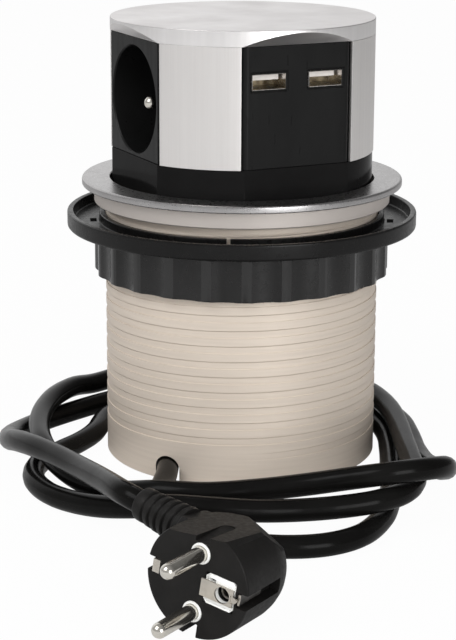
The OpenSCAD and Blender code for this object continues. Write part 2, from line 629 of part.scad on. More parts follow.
bottom_cover();
cover_screws();
outer_tube();
flange_ring();
guide_rail_left();
guide_rail_right();
latch_body();
latch_spring();
latch_plunger();
lift_spring();
cord_clamp();
clamp_screws();
inner_flex();
clamp_ring();
lock_nut();
head_base();
base_screws();
latch_striker();
head_collar();
head_frame();
socket_left();
socket_right();
socket_rear();
earth_pin_left();
earth_pin_right();
earth_pin_rear();
contacts_left();
contacts_right();
contacts_rear();
panel_front_left();
panel_front_right();
panel_rear_left();
panel_rear_right();
usb_face();
usb_shell_left();
usb_shell_right();
usb_tongue_left();
usb_tongue_right();
usb_board();
top_cap();
cord();
plug_boot();
plug_body();
plug_pins();
plug_collars();
plug_earth_frame();
plug_earth_plate();
plug_clips();
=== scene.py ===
import math

import bpy
from mathutils import Matrix, Vector


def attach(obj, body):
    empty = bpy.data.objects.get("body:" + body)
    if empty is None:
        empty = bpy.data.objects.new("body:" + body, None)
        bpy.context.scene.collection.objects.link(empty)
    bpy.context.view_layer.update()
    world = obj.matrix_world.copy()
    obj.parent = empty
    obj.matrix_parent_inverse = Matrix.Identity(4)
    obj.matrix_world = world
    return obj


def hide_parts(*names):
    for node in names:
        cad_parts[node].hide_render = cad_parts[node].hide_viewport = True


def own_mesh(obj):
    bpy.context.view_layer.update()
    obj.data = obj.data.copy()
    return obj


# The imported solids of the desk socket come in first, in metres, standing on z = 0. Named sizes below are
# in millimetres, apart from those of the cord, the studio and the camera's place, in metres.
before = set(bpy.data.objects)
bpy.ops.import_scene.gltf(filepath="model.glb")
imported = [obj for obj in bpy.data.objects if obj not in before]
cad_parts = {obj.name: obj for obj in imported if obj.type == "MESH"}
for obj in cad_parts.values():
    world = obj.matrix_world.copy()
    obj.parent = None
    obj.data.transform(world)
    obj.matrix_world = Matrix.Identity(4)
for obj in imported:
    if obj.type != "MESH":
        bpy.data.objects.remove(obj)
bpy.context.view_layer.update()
bpy.ops.object.select_all(action="DESELECT")


# Bottom cover: a moulded black disc that closes the tube's foot, with a slot for the cord.
# The guide rails that keep the head from turning are of the same plastic and stand on it.
# All of it sits inside the tube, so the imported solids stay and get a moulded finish.
EVEN = (1, 1, 1)
GRAIN_DETAIL = 3.0
GRAIN_LOW = 0.3
GRAIN_HIGH = 0.7


def new_finish(name, metal, specular=0.5):
    """A material with its shader set, to which the surface's own patterns are then linked."""
    finish = bpy.data.materials.new(name)
    finish.use_nodes = True
    shader = finish.node_tree.nodes["Principled BSDF"]
    shader.inputs["Metallic"].default_value = metal
    shader.inputs["Specular IOR Level"].default_value = specular
    return finish


def grain(finish, scale, stretch):
    """Noise on the piece's own coordinates, drawn out along an axis whose stretch is small."""
    tree = finish.node_tree
    place = tree.nodes.new("ShaderNodeTexCoord")
    drawn = tree.nodes.new("ShaderNodeMapping")
    drawn.inputs["Scale"].default_value = stretch
    noise = tree.nodes.new("ShaderNodeTexNoise")
    noise.inputs["Scale"].default_value = scale
    noise.inputs["Detail"].default_value = GRAIN_DETAIL
    tree.links.new(place.outputs["Object"], drawn.inputs["Vector"])
    tree.links.new(drawn.outputs["Vector"], noise.inputs["Vector"])
    return noise.outputs["Fac"]


def two_tones(finish, scale, dark, light, stretch=EVEN):
    """Lets the colour wander between two tones."""
    tree = finish.node_tree
    tones = tree.nodes.new("ShaderNodeValToRGB")
    tones.color_ramp.elements[0].position = GRAIN_LOW
    tones.color_ramp.elements[0].color = (*dark, 1)
    tones.color_ramp.elements[1].position = GRAIN_HIGH
    tones.color_ramp.elements[1].color = (*light, 1)
    tree.links.new(grain(finish, scale, stretch), tones.inputs["Fac"])
    tree.links.new(tones.outputs["Color"], tree.nodes["Principled BSDF"].inputs["Base Color"])


def uneven_gloss(finish, scale, low, high, stretch=EVEN):
    """Lets the roughness wander between two values."""
    tree = finish.node_tree
    gloss = tree.nodes.new("ShaderNodeMapRange")
    gloss.inputs["From Min"].default_value = GRAIN_LOW
    gloss.inputs["From Max"].default_value = GRAIN_HIGH
    gloss.inputs["To Min"].default_value = low
    gloss.inputs["To Max"].default_value = high
    tree.links.new(grain(finish, scale, stretch), gloss.inputs["Value"])
    tree.links.new(gloss.outputs["Result"], tree.nodes["Principled BSDF"].inputs["Roughness"])


def raised_grain(finish, scale, depth, stretch=EVEN):
    """Raises the surface by a pattern, depth in metres."""
    tree = finish.node_tree
    bump = tree.nodes.new("ShaderNodeBump")
    bump.inputs["Strength"].default_value = 1.0
    bump.inputs["Distance"].default_value = depth
    tree.links.new(grain(finish, scale, stretch), bump.inputs["Height"])
    tree.links.new(bump.outputs["Normal"], tree.nodes["Principled BSDF"].inputs["Normal"])


def dress(finish, *nodes):
    """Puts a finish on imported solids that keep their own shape."""
    for node in nodes:
        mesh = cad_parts[node].data
        mesh.materials.clear()
        mesh.materials.append(finish)


inner_black = new_finish("moulded_inner_black", 0.0, 0.35)
two_tones(inner_black, 90, (0.017, 0.017, 0.018), (0.025, 0.025, 0.026))
uneven_gloss(inner_black, 260, 0.48, 0.62)
raised_grain(inner_black, 1800, 0.00004)
dress(inner_black, "bottom_cover", "guide_rail_left", "guide_rail_right")


# Screws of the cover, the cord clamp and the head's base: zinc plated steel, self tapping.
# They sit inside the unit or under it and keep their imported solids.
zinc = new_finish("zinc_plated_steel", 1.0)
two_tones(zinc, 700, (0.5, 0.5, 0.5), (0.62, 0.62, 0.63))
uneven_gloss(zinc, 1500, 0.25, 0.4)
raised_grain(zinc, 4000, 0.00001, (1, 1, 0.2))
dress(zinc, "cover_screws", "clamp_screws", "base_screws")


# Push latch: a pale plastic housing on the cover, with a sprung plunger in its pocket.
# The striker under the head presses the plunger when the head is pushed down.
latch_plastic = new_finish("latch_pale_plastic", 0.0)
two_tones(latch_plastic, 120, (0.64, 0.64, 0.6), (0.72, 0.72, 0.69))
uneven_gloss(latch_plastic, 400, 0.38, 0.52)
raised_grain(latch_plastic, 2200, 0.00002)
dress(latch_plastic, "latch_body", "latch_plunger", "latch_striker")


# Springs: drawn steel wire. The tall one lifts the head, and the small one returns the plunger.
# The tall spring has a closed turn at each end, where it bears on the cover and the base plate.
def on_circle(radius, angle, height):
    """A place on a circle about the tube's axis."""
    return radius * math.cos(angle), radius * math.sin(angle), height


def pick(piece):
    """Makes a piece the only one that operators act on."""
    bpy.ops.object.select_all(action="DESELECT")
    piece.select_set(True)
    bpy.context.view_layer.objects.active = piece


def strand_along(name, places, radius, rounding):
    """A round strand through a list of places in metres, as a curve of one open spline."""
    line = bpy.data.curves.new(name, "CURVE")
    line.dimensions = "3D"
    line.bevel_depth = radius
    line.bevel_resolution = rounding
    line.use_fill_caps = True
    spline = line.splines.new("POLY")
    spline.points.add(len(places) - 1)
    for point, place in zip(spline.points, places):
        point.co = (*place, 1)
    spline.use_smooth = True
    strand = bpy.data.objects.new(name, line)
    bpy.context.collection.objects.link(strand)
    return strand


def wound(name, places, radius, rounding=3):
    """A wire through a list of places in millimetres, made a mesh at its full round section."""
    wire = strand_along(name, [Vector(place) / 1000 for place in places], radius / 1000, rounding)
    pick(wire)
    bpy.ops.object.convert(target="MESH")
    return bpy.context.object


def apply_to(piece, change):
    """Applies a modifier to its piece."""
    pick(piece)
    bpy.ops.object.modifier_apply(modifier=change.name)


def settle(piece, finish, body, nodes, crease=30):
    """Shades a finished piece, gives it its finish, hangs it on the body that carries it, and hides the
    imported solids that it stands for.
    """
    pick(piece)
    bpy.ops.object.shade_smooth_by_angle(angle=math.radians(crease))
    flats = piece.modifiers.new("flats", "WEIGHTED_NORMAL")
    flats.keep_sharp = True
    apply_to(piece, flats)
    piece.data.materials.clear()
    piece.data.materials.append(finish)
    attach(piece, body)
    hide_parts(*nodes)


spring_steel = new_finish("spring_steel", 1.0)
two_tones(spring_steel, 900, (0.42, 0.42, 0.43), (0.56, 0.56, 0.57))
uneven_gloss(spring_steel, 1600, 0.2, 0.36)
LIFT_TURNS = 10
LIFT_STEPS = 40
LIFT_RADIUS = 18
LIFT_WIRE = 0.75
LIFT_LOW = 4.8
LIFT_HIGH = 79.35
LIFT_END = 2.1
lift_rise = LIFT_HIGH - LIFT_LOW - 2 * LIFT_END
lift_places = []
for i in range(LIFT_STEPS * LIFT_TURNS + 1):
    turns = i / LIFT_STEPS
    angle = 2 * math.pi * turns
    closed_turns = min(turns, 1) + max(turns - LIFT_TURNS + 1, 0)
    open_share = max(0, min(1, (turns - 1) / (LIFT_TURNS - 2)))
    height = LIFT_LOW + LIFT_END * closed_turns + lift_rise * open_share
    lift_places.append(on_circle(LIFT_RADIUS, angle, height))
lift_wire = wound("lift_spring_wire", lift_places, LIFT_WIRE)
settle(lift_wire, spring_steel, "base", ["lift_spring"])
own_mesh(lift_wire)

LATCH_TURNS = 3
LATCH_STEPS = 24
LATCH_RADIUS = 1.6
LATCH_WIRE = 0.3
LATCH_LOW = 5.9
LATCH_RISE = 3.7
latch_places = []
for i in range(LATCH_STEPS * LATCH_TURNS + 1):
    angle = 2 * math.pi * i / LATCH_STEPS
    height = LATCH_LOW + LATCH_RISE * i / (LATCH_STEPS * LATCH_TURNS)
    latch_places.append(on_circle(LATCH_RADIUS, angle, height))
latch_wire = wound("latch_spring_wire", latch_places, LATCH_WIRE)
settle(latch_wire, spring_steel, "base", ["latch_spring"])
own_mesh(latch_wire)


# Outer tube: drawn aluminium with a champagne satin anodised skin, plain at the foot.
# A shallow thread for the nut is turned round it, and a notch at the foot lets the cord out.
# The notch, the cord and the camera are turned about the tube's axis with the photographed side.
LAY_TURN = math.radians(-26.35)
turn = Matrix.Rotation(LAY_TURN, 4, "Z")
MERGE = 0.001


def drawn_outline(name, outline):
    """A closed line of edges through points in millimetres, left in edit mode."""
    bpy.ops.object.select_all(action="DESELECT")
    bpy.ops.mesh.primitive_plane_add(size=0.002)
    piece = bpy.context.object
    piece.name = name
    bpy.ops.object.mode_set(mode="EDIT")
    bpy.ops.mesh.merge(type="CENTER")
    bpy.ops.transform.translate(value=Vector(outline[0]) / 1000)
    for start, end in zip(outline, outline[1:] + outline[:1]):
        step = (Vector(end) - Vector(start)) / 1000
        bpy.ops.mesh.extrude_region_move(TRANSFORM_OT_translate={"value": step})
    bpy.ops.mesh.select_all(action="SELECT")
    bpy.ops.mesh.remove_doubles(threshold=MERGE / 1000)
    return piece


def turned(name, section, steps=128, sweep=360):
    """A piece round the z axis: its half section of radius and height is drawn and spun."""
    piece = drawn_outline(name, [(r, 0, z) for r, z in section])
    bpy.ops.mesh.spin(steps=steps, angle=math.radians(sweep), center=(0, 0, 0), axis=(0, 0, 1))
    bpy.ops.mesh.select_all(action="SELECT")
    bpy.ops.mesh.remove_doubles(threshold=MERGE / 1000)
    if sweep < 360:
        bpy.ops.mesh.fill_holes(sides=4)
    bpy.ops.mesh.normals_make_consistent(inside=False)
    bpy.ops.object.mode_set(mode="OBJECT")
    return piece


def cut_away(piece, cutter, how="DIFFERENCE"):
    """Cuts one shape out of another, or joins them, and removes the tool."""
    cut = piece.modifiers.new("cut", "BOOLEAN")
    cut.operation = how
    cut.solver = "EXACT"
    cut.object = cutter
    apply_to(piece, cut)
    bpy.data.objects.remove(cutter)


def placed(piece, place):
    """Moves a piece to its place and leaves its object at the origin."""
    pick(piece)
    piece.matrix_world = place @ piece.matrix_world
    bpy.ops.object.transform_apply(location=True, rotation=True, scale=True)
    return piece


def rod(centre, radius, length, along="z", sides=64):
    """A round bar about a point, in millimetres."""
    lean = {"x": (0, math.pi / 2, 0), "y": (math.pi / 2, 0, 0), "z": (0, 0, 0)}[along]
    bpy.ops.object.select_all(action="DESELECT")
    bpy.ops.mesh.primitive_cylinder_add(vertices=sides, radius=radius / 1000, depth=length / 1000,
                                        location=Vector(centre) / 1000, rotation=lean)
    bpy.ops.object.transform_apply(location=True, rotation=True, scale=True)
    return bpy.context.object


TUBE_STEPS = 160
tube_sleeve = turned("tube_sleeve", [
    (48.4, 0), (49.75, 0), (50, 0.25), (50, 91.1), (49.55, 91.6), (49.55, 100.6), (48.4, 100.6)], TUBE_STEPS)

# The thread's cutter is wound from the groove's section. It starts on one of the tube's own edges,
# and its first stretch is drawn outwards, so that the groove comes in gently.
THREAD_PITCH = 5.6
THREAD_TURNS = 15
THREAD_START = 9.6
THREAD_ROOT = 49.64
THREAD_OUTSIDE = 50.6
THREAD_WIDTH = 3.6
START_EDGE = -57
RUN_IN = 0.12
RUN_IN_DRAW = 0.011
thread_cutter = drawn_outline("thread_cutter", [
    (THREAD_ROOT, 0, 0), (THREAD_OUTSIDE, 0, -0.1), (THREAD_OUTSIDE, 0, 3.46), (THREAD_ROOT, 0, 2.3)])
bpy.ops.object.mode_set(mode="OBJECT")
winding = thread_cutter.modifiers.new("winding", "SCREW")
winding.angle = 2 * math.pi
winding.screw_offset = THREAD_PITCH / 1000
winding.iterations = THREAD_TURNS
winding.steps = TUBE_STEPS
winding.render_steps = TUBE_STEPS
apply_to(thread_cutter, winding)
for corner in thread_cutter.data.vertices:
    around = math.atan2(corner.co.y, corner.co.x) % (2 * math.pi) / (2 * math.pi)
    on_first_turn = corner.co.z < (THREAD_PITCH * around + THREAD_WIDTH) / 1000
    if on_first_turn and around < RUN_IN:
        lift = 1 + RUN_IN_DRAW * (1 - around / RUN_IN)
        corner.co.x *= lift
        corner.co.y *= lift
bpy.ops.object.mode_set(mode="EDIT")
bpy.ops.mesh.select_all(action="SELECT")
bpy.ops.mesh.fill_holes(sides=4)
bpy.ops.mesh.normals_make_consistent(inside=False)
bpy.ops.object.mode_set(mode="OBJECT")
start_turn = Matrix.Rotation(START_EDGE * 2 * math.pi / TUBE_STEPS, 4, "Z")
placed(thread_cutter, Matrix.Translation((0, 0, THREAD_START / 1000)) @ start_turn)
cut_away(tube_sleeve, thread_cutter)

# The notch is an arch: the lower half of a round cutter is drawn down past the foot.
NOTCH_X = -26
NOTCH_Z = 4.6
NOTCH_RADIUS = 4.3
NOTCH_DRAW = 10
notch = rod((NOTCH_X, -50, NOTCH_Z), NOTCH_RADIUS, 60, "y")
for corner in notch.data.vertices:
    if corner.co.z < NOTCH_Z / 1000:
        corner.co.z -= NOTCH_DRAW / 1000
cut_away(tube_sleeve, placed(notch, turn))

TUBE_LAY = (0.03, 0.03, 1)
champagne = new_finish("champagne_satin_aluminium", 0.35, 0.3)
two_tones(champagne, 800, (0.635, 0.557, 0.48), (0.685, 0.605, 0.523), TUBE_LAY)
uneven_gloss(champagne, 900, 0.5, 0.6, TUBE_LAY)
raised_grain(champagne, 1600, 0.00001, TUBE_LAY)
settle(tube_sleeve, champagne, "base", ["outer_tube"], 20)


# Flange: a turned aluminium ring with a satin finish that rests on the desk top.
# The neck under it is screwed on the tube, has a paler satin skin, and is hollow below.
def reach(point):
    """How far a point stands from the tube's axis, in millimetres."""
    return math.hypot(point.x, point.y) * 1000


def refinish(piece, finish, wanted):
    """Gives a further finish to the faces that a test picks."""
    piece.data.materials.append(finish)
    for face in piece.data.polygons:
        if wanted(face):
            face.material_index = len(piece.data.materials) - 1


NECK_TOP = 100.55
NECK_EDGE = 54.2
NECK_LAY = (0.05, 0.05, 1)
flange = turned("flange_and_neck", [
    (48.2, 100.6), (48.2, 102.95), (48.45, 103.2), (57.5, 103.2), (57.95, 103.05), (58.28, 102.75),
    (58.4, 102.3), (58.4, 101.0), (58.25, 100.75), (57.95, 100.6), (54, 100.6), (54, 94.7), (53.6, 94.3),
    (52.75, 94.3), (52.75, 97.9), (49.65, 97.9), (49.65, 100.6)])
flange_satin = new_finish("flange_satin_aluminium", 1.0)
two_tones(flange_satin, 140, (0.41, 0.4, 0.4), (0.45, 0.44, 0.44))
uneven_gloss(flange_satin, 1100, 0.25, 0.36)
raised_grain(flange_satin, 3000, 0.000005)
neck_satin = new_finish("neck_satin_aluminium", 0.4, 0.3)
two_tones(neck_satin, 160, (0.515, 0.47, 0.44), (0.545, 0.503, 0.47), NECK_LAY)
uneven_gloss(neck_satin, 900, 0.45, 0.56, NECK_LAY)
raised_grain(neck_satin, 2600, 0.000006, NECK_LAY)
settle(flange, flange_satin, "base", ["flange_ring"], 25)
refinish(flange, neck_satin,
         lambda face: face.center.z * 1000 < NECK_TOP and reach(face.center) < NECK_EDGE)


# Mains cord: three copper cores in one black PVC jacket, drawn as a single round lead.
# It leaves the tube through the notch in its foot, lies round the tube in three loose
# rounds and ends in the plug's bend relief. It is turned with the photographed side.
CORD_DIAMETER = 0.0078
CORD_STEPS = 8
FLOOR_GAP = 0.0001
PLUG_AT = (-12.5, -183.6, 17.7)
PLUG_HEADING = math.radians(-122.6)
PLUG_ROLL = math.radians(-9.5)
BOOT_ROOT = (-18.5, -15.2, 5)
BOOT_BACK = math.radians(-10)
INTO_BOOT = (30, 21, 16)
plug_place = (turn @ Matrix.Translation(Vector(PLUG_AT) / 1000) @ Matrix.Rotation(PLUG_HEADING, 4, "Z")
              @ Matrix.Rotation(PLUG_ROLL, 4, "X"))
boot_place = (Matrix.Translation(Vector(BOOT_ROOT) / 1000) @ Matrix.Rotation(BOOT_BACK, 4, "Z")
              @ Matrix.Rotation(math.pi / 2, 4, "X"))

# The cord's route is given as three rounds and a last run that leads into the bend relief.
ROUND_ONE = [
    (-0.026, -0.017, 0.0045), (-0.026, -0.033, 0.0045), (-0.026, -0.048, 0.0043), (-0.0275, -0.064, 0.004),
    (-0.0265, -0.081, 0.004), (-0.0205, -0.098, 0.004), (-0.008, -0.1115, 0.004), (0.009, -0.1185, 0.004),
    (0.026, -0.1175, 0.004), (0.039, -0.109, 0.004), (0.047, -0.094, 0.004), (0.051, -0.077, 0.004),
    (0.053, -0.059, 0.004), (0.054, -0.04, 0.004), (0.055, -0.02, 0.004), (0.0548, 0.002, 0.004),
    (0.0495, 0.024, 0.004), (0.036, 0.042, 0.004), (0.014, 0.054, 0.004), (-0.013, 0.054, 0.004),
    (-0.037, 0.041, 0.004), (-0.051, 0.0215, 0.004)]
ROUND_TWO = [
    (-0.055, 0, 0.004), (-0.06, -0.013, 0.004), (-0.0665, -0.024, 0.004), (-0.0715, -0.034, 0.004),
    (-0.0735, -0.046, 0.004), (-0.0715, -0.0585, 0.004), (-0.065, -0.071, 0.0042), (-0.056, -0.0815, 0.0052),
    (-0.046, -0.091, 0.0072), (-0.035, -0.0995, 0.0102), (-0.0225, -0.105, 0.0127),
    (-0.009, -0.1065, 0.0124), (0.005, -0.1055, 0.0113), (0.019, -0.1035, 0.0109), (0.033, -0.102, 0.0116),
    (0.0455, -0.099, 0.0126), (0.055, -0.091, 0.0129), (0.0595, -0.079, 0.0129), (0.06, -0.065, 0.0129),
    (0.0595, -0.05, 0.0128), (0.059, -0.035, 0.0126), (0.0585, -0.02, 0.0125), (0.0575, -0.004, 0.0125),
    (0.055, 0.012, 0.0125), (0.049, 0.029, 0.0125), (0.037, 0.046, 0.0125), (0.019, 0.0585, 0.0125),
    (-0.003, 0.066, 0.0126), (-0.026, 0.067, 0.012), (-0.046, 0.0595, 0.0095)]
ROUND_THREE = [
    (-0.058, 0.046, 0.0096), (-0.066, 0.033, 0.0118), (-0.072, 0.015, 0.0128), (-0.0745, -0.005, 0.0128),
    (-0.0735, -0.025, 0.0128), (-0.07, -0.043, 0.0127), (-0.0635, -0.058, 0.0106), (-0.0535, -0.07, 0.0082),
    (-0.041, -0.082, 0.0094), (-0.027, -0.0905, 0.0126), (-0.011, -0.0935, 0.013), (0.006, -0.092, 0.0138),
    (0.022, -0.092, 0.0158), (0.037, -0.094, 0.0188), (0.05, -0.0955, 0.0212), (0.061, -0.0915, 0.0213),
    (0.0685, -0.082, 0.0188), (0.071, -0.068, 0.0136), (0.07, -0.053, 0.0084), (0.067, -0.037, 0.0049),
    (0.0648, -0.02, 0.004), (0.0638, -0.002, 0.004), (0.0613, 0.0175, 0.004), (0.053, 0.037, 0.004),
    (0.0365, 0.0535, 0.004), (0.014, 0.0632, 0.004), (-0.011, 0.0635, 0.004), (-0.034, 0.055, 0.004),
    (-0.052, 0.0405, 0.004)]
LAST_RUN = [
    (-0.0655, 0.026, 0.004), (-0.076, 0.013, 0.004), (-0.0825, -0.001, 0.005), (-0.085, -0.016, 0.0075),
    (-0.0835, -0.031, 0.011), (-0.079, -0.046, 0.0154), (-0.072, -0.061, 0.0186), (-0.0625, -0.078, 0.0208),
    (-0.053, -0.097, 0.023), (-0.044, -0.1195, 0.0267)]


def between(before, start, end, after, t):
    """A point of the smooth curve that passes through start and end."""
    return 0.5 * (2 * start + (end - before) * t + (2 * before - 5 * start + 4 * end - after) * t * t
                  + (3 * start - before - 3 * end + after) * t ** 3)


laid = ROUND_ONE + ROUND_TWO + ROUND_THREE + LAST_RUN
route = [turn @ (Vector(p) + Vector((0, 0, FLOOR_GAP))) for p in laid]
route += [plug_place @ boot_place @ Vector((0, 0, along / 1000)) for along in INTO_BOOT]
last = len(route) - 1
cord_line = []
for i in range(last):
    before = route[max(i - 1, 0)]
    after = route[min(i + 2, last)]
    for k in range(CORD_STEPS):
        cord_line.append(between(before, route[i], route[i + 1], after, k / CORD_STEPS))
cord_line.append(route[last])
mains_cord = strand_along("mains_cord", cord_line, CORD_DIAMETER / 2, 6)
cord_jacket = new_finish("cord_black_pvc", 0.0, 0.07)
two_tones(cord_jacket, 60, (0.004, 0.0038, 0.0036), (0.0065, 0.0063, 0.006))
uneven_gloss(cord_jacket, 300, 0.16, 0.24)
raised_grain(cord_jacket, 500, 0.00002)
mains_cord.data.materials.append(cord_jacket)
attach(mains_cord, "base")
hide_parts("cord")


# Cord clamp: a black moulded saddle that two screws pull down on the cord inside the tube.
# From it the loose leads rise in one sheath to the head, with slack for its travel.
LEAD_FOOT = (-26, -17)
LEAD_SWEEP = math.radians(300)
LEAD_STEPS = 120
LEAD_LOW = 6.9
LEAD_RISE = 70.5
LEAD_RADIUS = 2.6
dress(inner_black, "cord_clamp")
flex_sheath = new_finish("inner_lead_sheath", 0.0)
two_tones(flex_sheath, 150, (0.18, 0.18, 0.19), (0.23, 0.23, 0.24))
uneven_gloss(flex_sheath, 500, 0.42, 0.58)
raised_grain(flex_sheath, 900, 0.00003)
lead_reach = math.hypot(*LEAD_FOOT)
lead_start = math.atan2(LEAD_FOOT[1], LEAD_FOOT[0]) - math.radians(10)
lead_places = []
for i in range(LEAD_STEPS + 1):
    angle = lead_start - LEAD_SWEEP * i / LEAD_STEPS + LAY_TURN
    height = LEAD_LOW + LEAD_RISE * i / LEAD_STEPS
    lead_places.append(on_circle(lead_reach, angle, height))
inner_leads = wound("inner_leads", lead_places, LEAD_RADIUS, 4)
settle(inner_leads, flex_sheath, "base", ["inner_flex"])
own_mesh(inner_leads)


# Plug: one moulding of black rubbery plastic round the pins, with a flat on its upper side and a
# slanted corner behind that, a guide groove above and below, and a slot for an earth clip on each
# flank. It is modelled along its own axis, pins forward, and then laid in its place.
PIN_OFF = 9.5
PIN_HOLE = 2.45
COLLAR_SEAT = 3.35
EARTH_OFF = 9.5
EARTH_HOLE = 2.6
PLUG_FLAT = 14.6
FLAT_FALL = math.radians(-5.3)
FLANK = 14.1
GROOVE_HALF = 2.4


def trim(piece, point, way):
    """Slices off what lies beyond a plane and closes the cut."""
    pick(piece)
    bpy.ops.object.mode_set(mode="EDIT")
    bpy.ops.mesh.select_all(action="SELECT")
    bpy.ops.mesh.bisect(plane_co=Vector(point) / 1000, plane_no=way, use_fill=True, clear_outer=True)
    bpy.ops.object.mode_set(mode="OBJECT")


def soften(piece, width, segments=2, angle=30):
    """Rounds every edge sharper than an angle, as moulding and deburring do."""
    rounding = piece.modifiers.new("rounding", "BEVEL")
    rounding.width = width / 1000
    rounding.segments = segments
    rounding.limit_method = "ANGLE"
    rounding.angle_limit = math.radians(angle)
    apply_to(piece, rounding)


def block(low, high):
    """A box between two corners, in millimetres."""
    bpy.ops.object.select_all(action="DESELECT")
    middle = (Vector(low) + Vector(high)) / 2000
    size = (Vector(high) - Vector(low)) / 1000
    bpy.ops.mesh.primitive_cube_add(size=1, location=middle, scale=size)
    bpy.ops.object.transform_apply(location=True, rotation=True, scale=True)
    return bpy.context.object


plug_body = turned("plug_moulding", [
    (0, 0), (16.9, 0), (17.4, 0.15), (17.65, 0.5), (17.7, 1), (17.7, 17.5), (17.4, 20), (16.7, 22.6),
    (15.6, 24.8), (14.2, 26.4), (12.6, 27.3), (11, 27.5), (0, 27.5)], 96)
placed(plug_body, Matrix.Rotation(math.radians(-90), 4, "Y"))
boss = turned("boot_boss", [(0, -12), (8.5, -12), (7.7, 0), (7.2, 0.7), (6.6, 1), (0, 1)], 64)
cut_away(plug_body, placed(boss, boot_place), "UNION")
flat_lean = Matrix.Rotation(-PLUG_ROLL, 3, "X")
flat_way = flat_lean @ Matrix.Rotation(FLAT_FALL, 3, "Y") @ Vector((0, 0, 1))
trim(plug_body, flat_lean @ Vector((0, 0, PLUG_FLAT)), flat_way)
trim(plug_body, (-17.5, 8, PLUG_FLAT), Vector((-0.5, 0.3, 0.8)).normalized())
for side in (1, -1):
    groove = block((-13, -GROOVE_HALF, 13), (2, GROOVE_HALF, 30))
    cut_away(groove, rod((-13, 0, 21.5), GROOVE_HALF, 17), "UNION")
    if side < 0:
        placed(groove, Matrix.Rotation(math.pi, 4, "X"))
    cut_away(plug_body, groove)
    near, far = sorted((FLANK * side, 30 * side))
    cut_away(plug_body, block((-18, near, -2.4), (2, far, 2.4)))
    cut_away(plug_body, rod((-3, 0, PIN_OFF * side), PIN_HOLE, 10, "x", 48))
    cut_away(plug_body, rod((0, 0, PIN_OFF * side), COLLAR_SEAT, 2, "x", 48))
cut_away(plug_body, block((-1.2, 2.85, -4.95), (2, 13.45, 4.95)))
cut_away(plug_body, rod((-6, EARTH_OFF, 0), EARTH_HOLE, 20, "x", 48))
soften(plug_body, 0.25, 2, 35)
placed(plug_body, plug_place)
plug_black = new_finish("plug_black_moulding", 0.0, 0.16)
two_tones(plug_black, 120, (0.0075, 0.007, 0.0066), (0.011, 0.0103, 0.0098))
uneven_gloss(plug_black, 700, 0.4, 0.54)
raised_grain(plug_black, 2400, 0.00003)
settle(plug_body, plug_black, "base", ["plug_body"], 35)


# Bend relief: a tapered sleeve of the plug's own moulding, slotted crosswise so that it flexes.
# A plain rounded collar closes it round the cord.
RELIEF_RIBS = 5
RIB_PITCH = 3.2
RIB_TAPER = 0.25
RELIEF_BORE = 3.95
RELIEF_ROOT = 6.6
relief_section = [(RELIEF_BORE, 1), (RELIEF_ROOT, 1)]
for i in range(RELIEF_RIBS):
    foot = 3 + RIB_PITCH * i
    edge = RELIEF_ROOT - RIB_TAPER * i
    relief_section += [(edge, foot - 0.2), (edge - 0.15, foot), (edge - 0.95, foot + 0.25)]
    relief_section += [(edge - 0.95, foot + 1.15), (edge - 0.35, foot + 1.45), (edge - 0.2, foot + 1.65)]
relief_section += [(5.45, 18.6), (5.4, 20), (5.25, 20.6), (4.9, 20.95), (RELIEF_BORE, 21)]
bend_relief = turned("bend_relief", relief_section, 64)
placed(bend_relief, plug_place @ boot_place)
settle(bend_relief, plug_black, "base", ["plug_boot"], 35)


# Pins: nickel plated brass with rounded ends, moulded into the plug 19 mm apart.
# A white insulating collar stands round the root of each.
PIN_RADIUS = 2.4
PIN_LENGTH = 27
END_PARTS = 8


def round_end(radius, top):
    """The points of a rounded end, from the side up to the middle."""
    angles = [math.pi / 2 * i / END_PARTS for i in range(END_PARTS + 1)]
    return [(radius * math.cos(a), top - radius + radius * math.sin(a)) for a in angles]


def twin_of(piece, name, place):
    """A copy with its own mesh, moved to its place."""
    twin = piece.copy()
    twin.data = piece.data.copy()
    twin.name = name
    bpy.context.collection.objects.link(twin)
    return placed(twin, place)


def joined(pieces, name):
    """Several separate lumps as one piece."""
    bpy.ops.object.select_all(action="DESELECT")
    for piece in pieces:
        piece.select_set(True)
    bpy.context.view_layer.objects.active = pieces[0]
    bpy.ops.object.join()
    pieces[0].name = name
    return pieces[0]


def out_of_plug(x, y, z):
    """Stands a turned piece on a point in millimetres, pointing out of the plug's face."""
    return Matrix.Translation(Vector((x, y, z)) / 1000) @ Matrix.Rotation(math.pi / 2, 4, "Y")


low_pin = Matrix.Translation((0, 0, -2 * PIN_OFF / 1000))
nickel = new_finish("nickel_plate", 1.0)
two_tones(nickel, 500, (0.68, 0.65, 0.59), (0.75, 0.72, 0.66))
uneven_gloss(nickel, 1400, 0.14, 0.24)
raised_grain(nickel, 3000, 0.000003)
first_pin = turned("pin", [(0, 0), (PIN_RADIUS, 0)] + round_end(PIN_RADIUS, PIN_LENGTH), 48)
placed(first_pin, out_of_plug(-8, 0, PIN_OFF))
second_pin = twin_of(first_pin, "pin_low", low_pin)
plug_pins = placed(joined([first_pin, second_pin], "plug_pins_plated"), plug_place)
settle(plug_pins, nickel, "base", ["plug_pins"])

white_plastic = new_finish("white_insulator", 0.0)
two_tones(white_plastic, 300, (0.78, 0.78, 0.76), (0.85, 0.85, 0.83))
uneven_gloss(white_plastic, 900, 0.34, 0.46)
raised_grain(white_plastic, 2600, 0.00001)
first_collar = turned("collar", [
    (2.45, 0), (3.3, 0), (3.3, 1.1), (3.2, 1.3), (3.0, 1.4), (2.6, 1.4), (2.45, 1.25)], 48)
placed(first_collar, out_of_plug(-1, 0, PIN_OFF))
second_collar = twin_of(first_collar, "collar_low", low_pin)
pin_collars = placed(joined([first_collar, second_collar], "pin_collars_white"), plug_place)
settle(pin_collars, white_plastic, "base", ["plug_collars"])


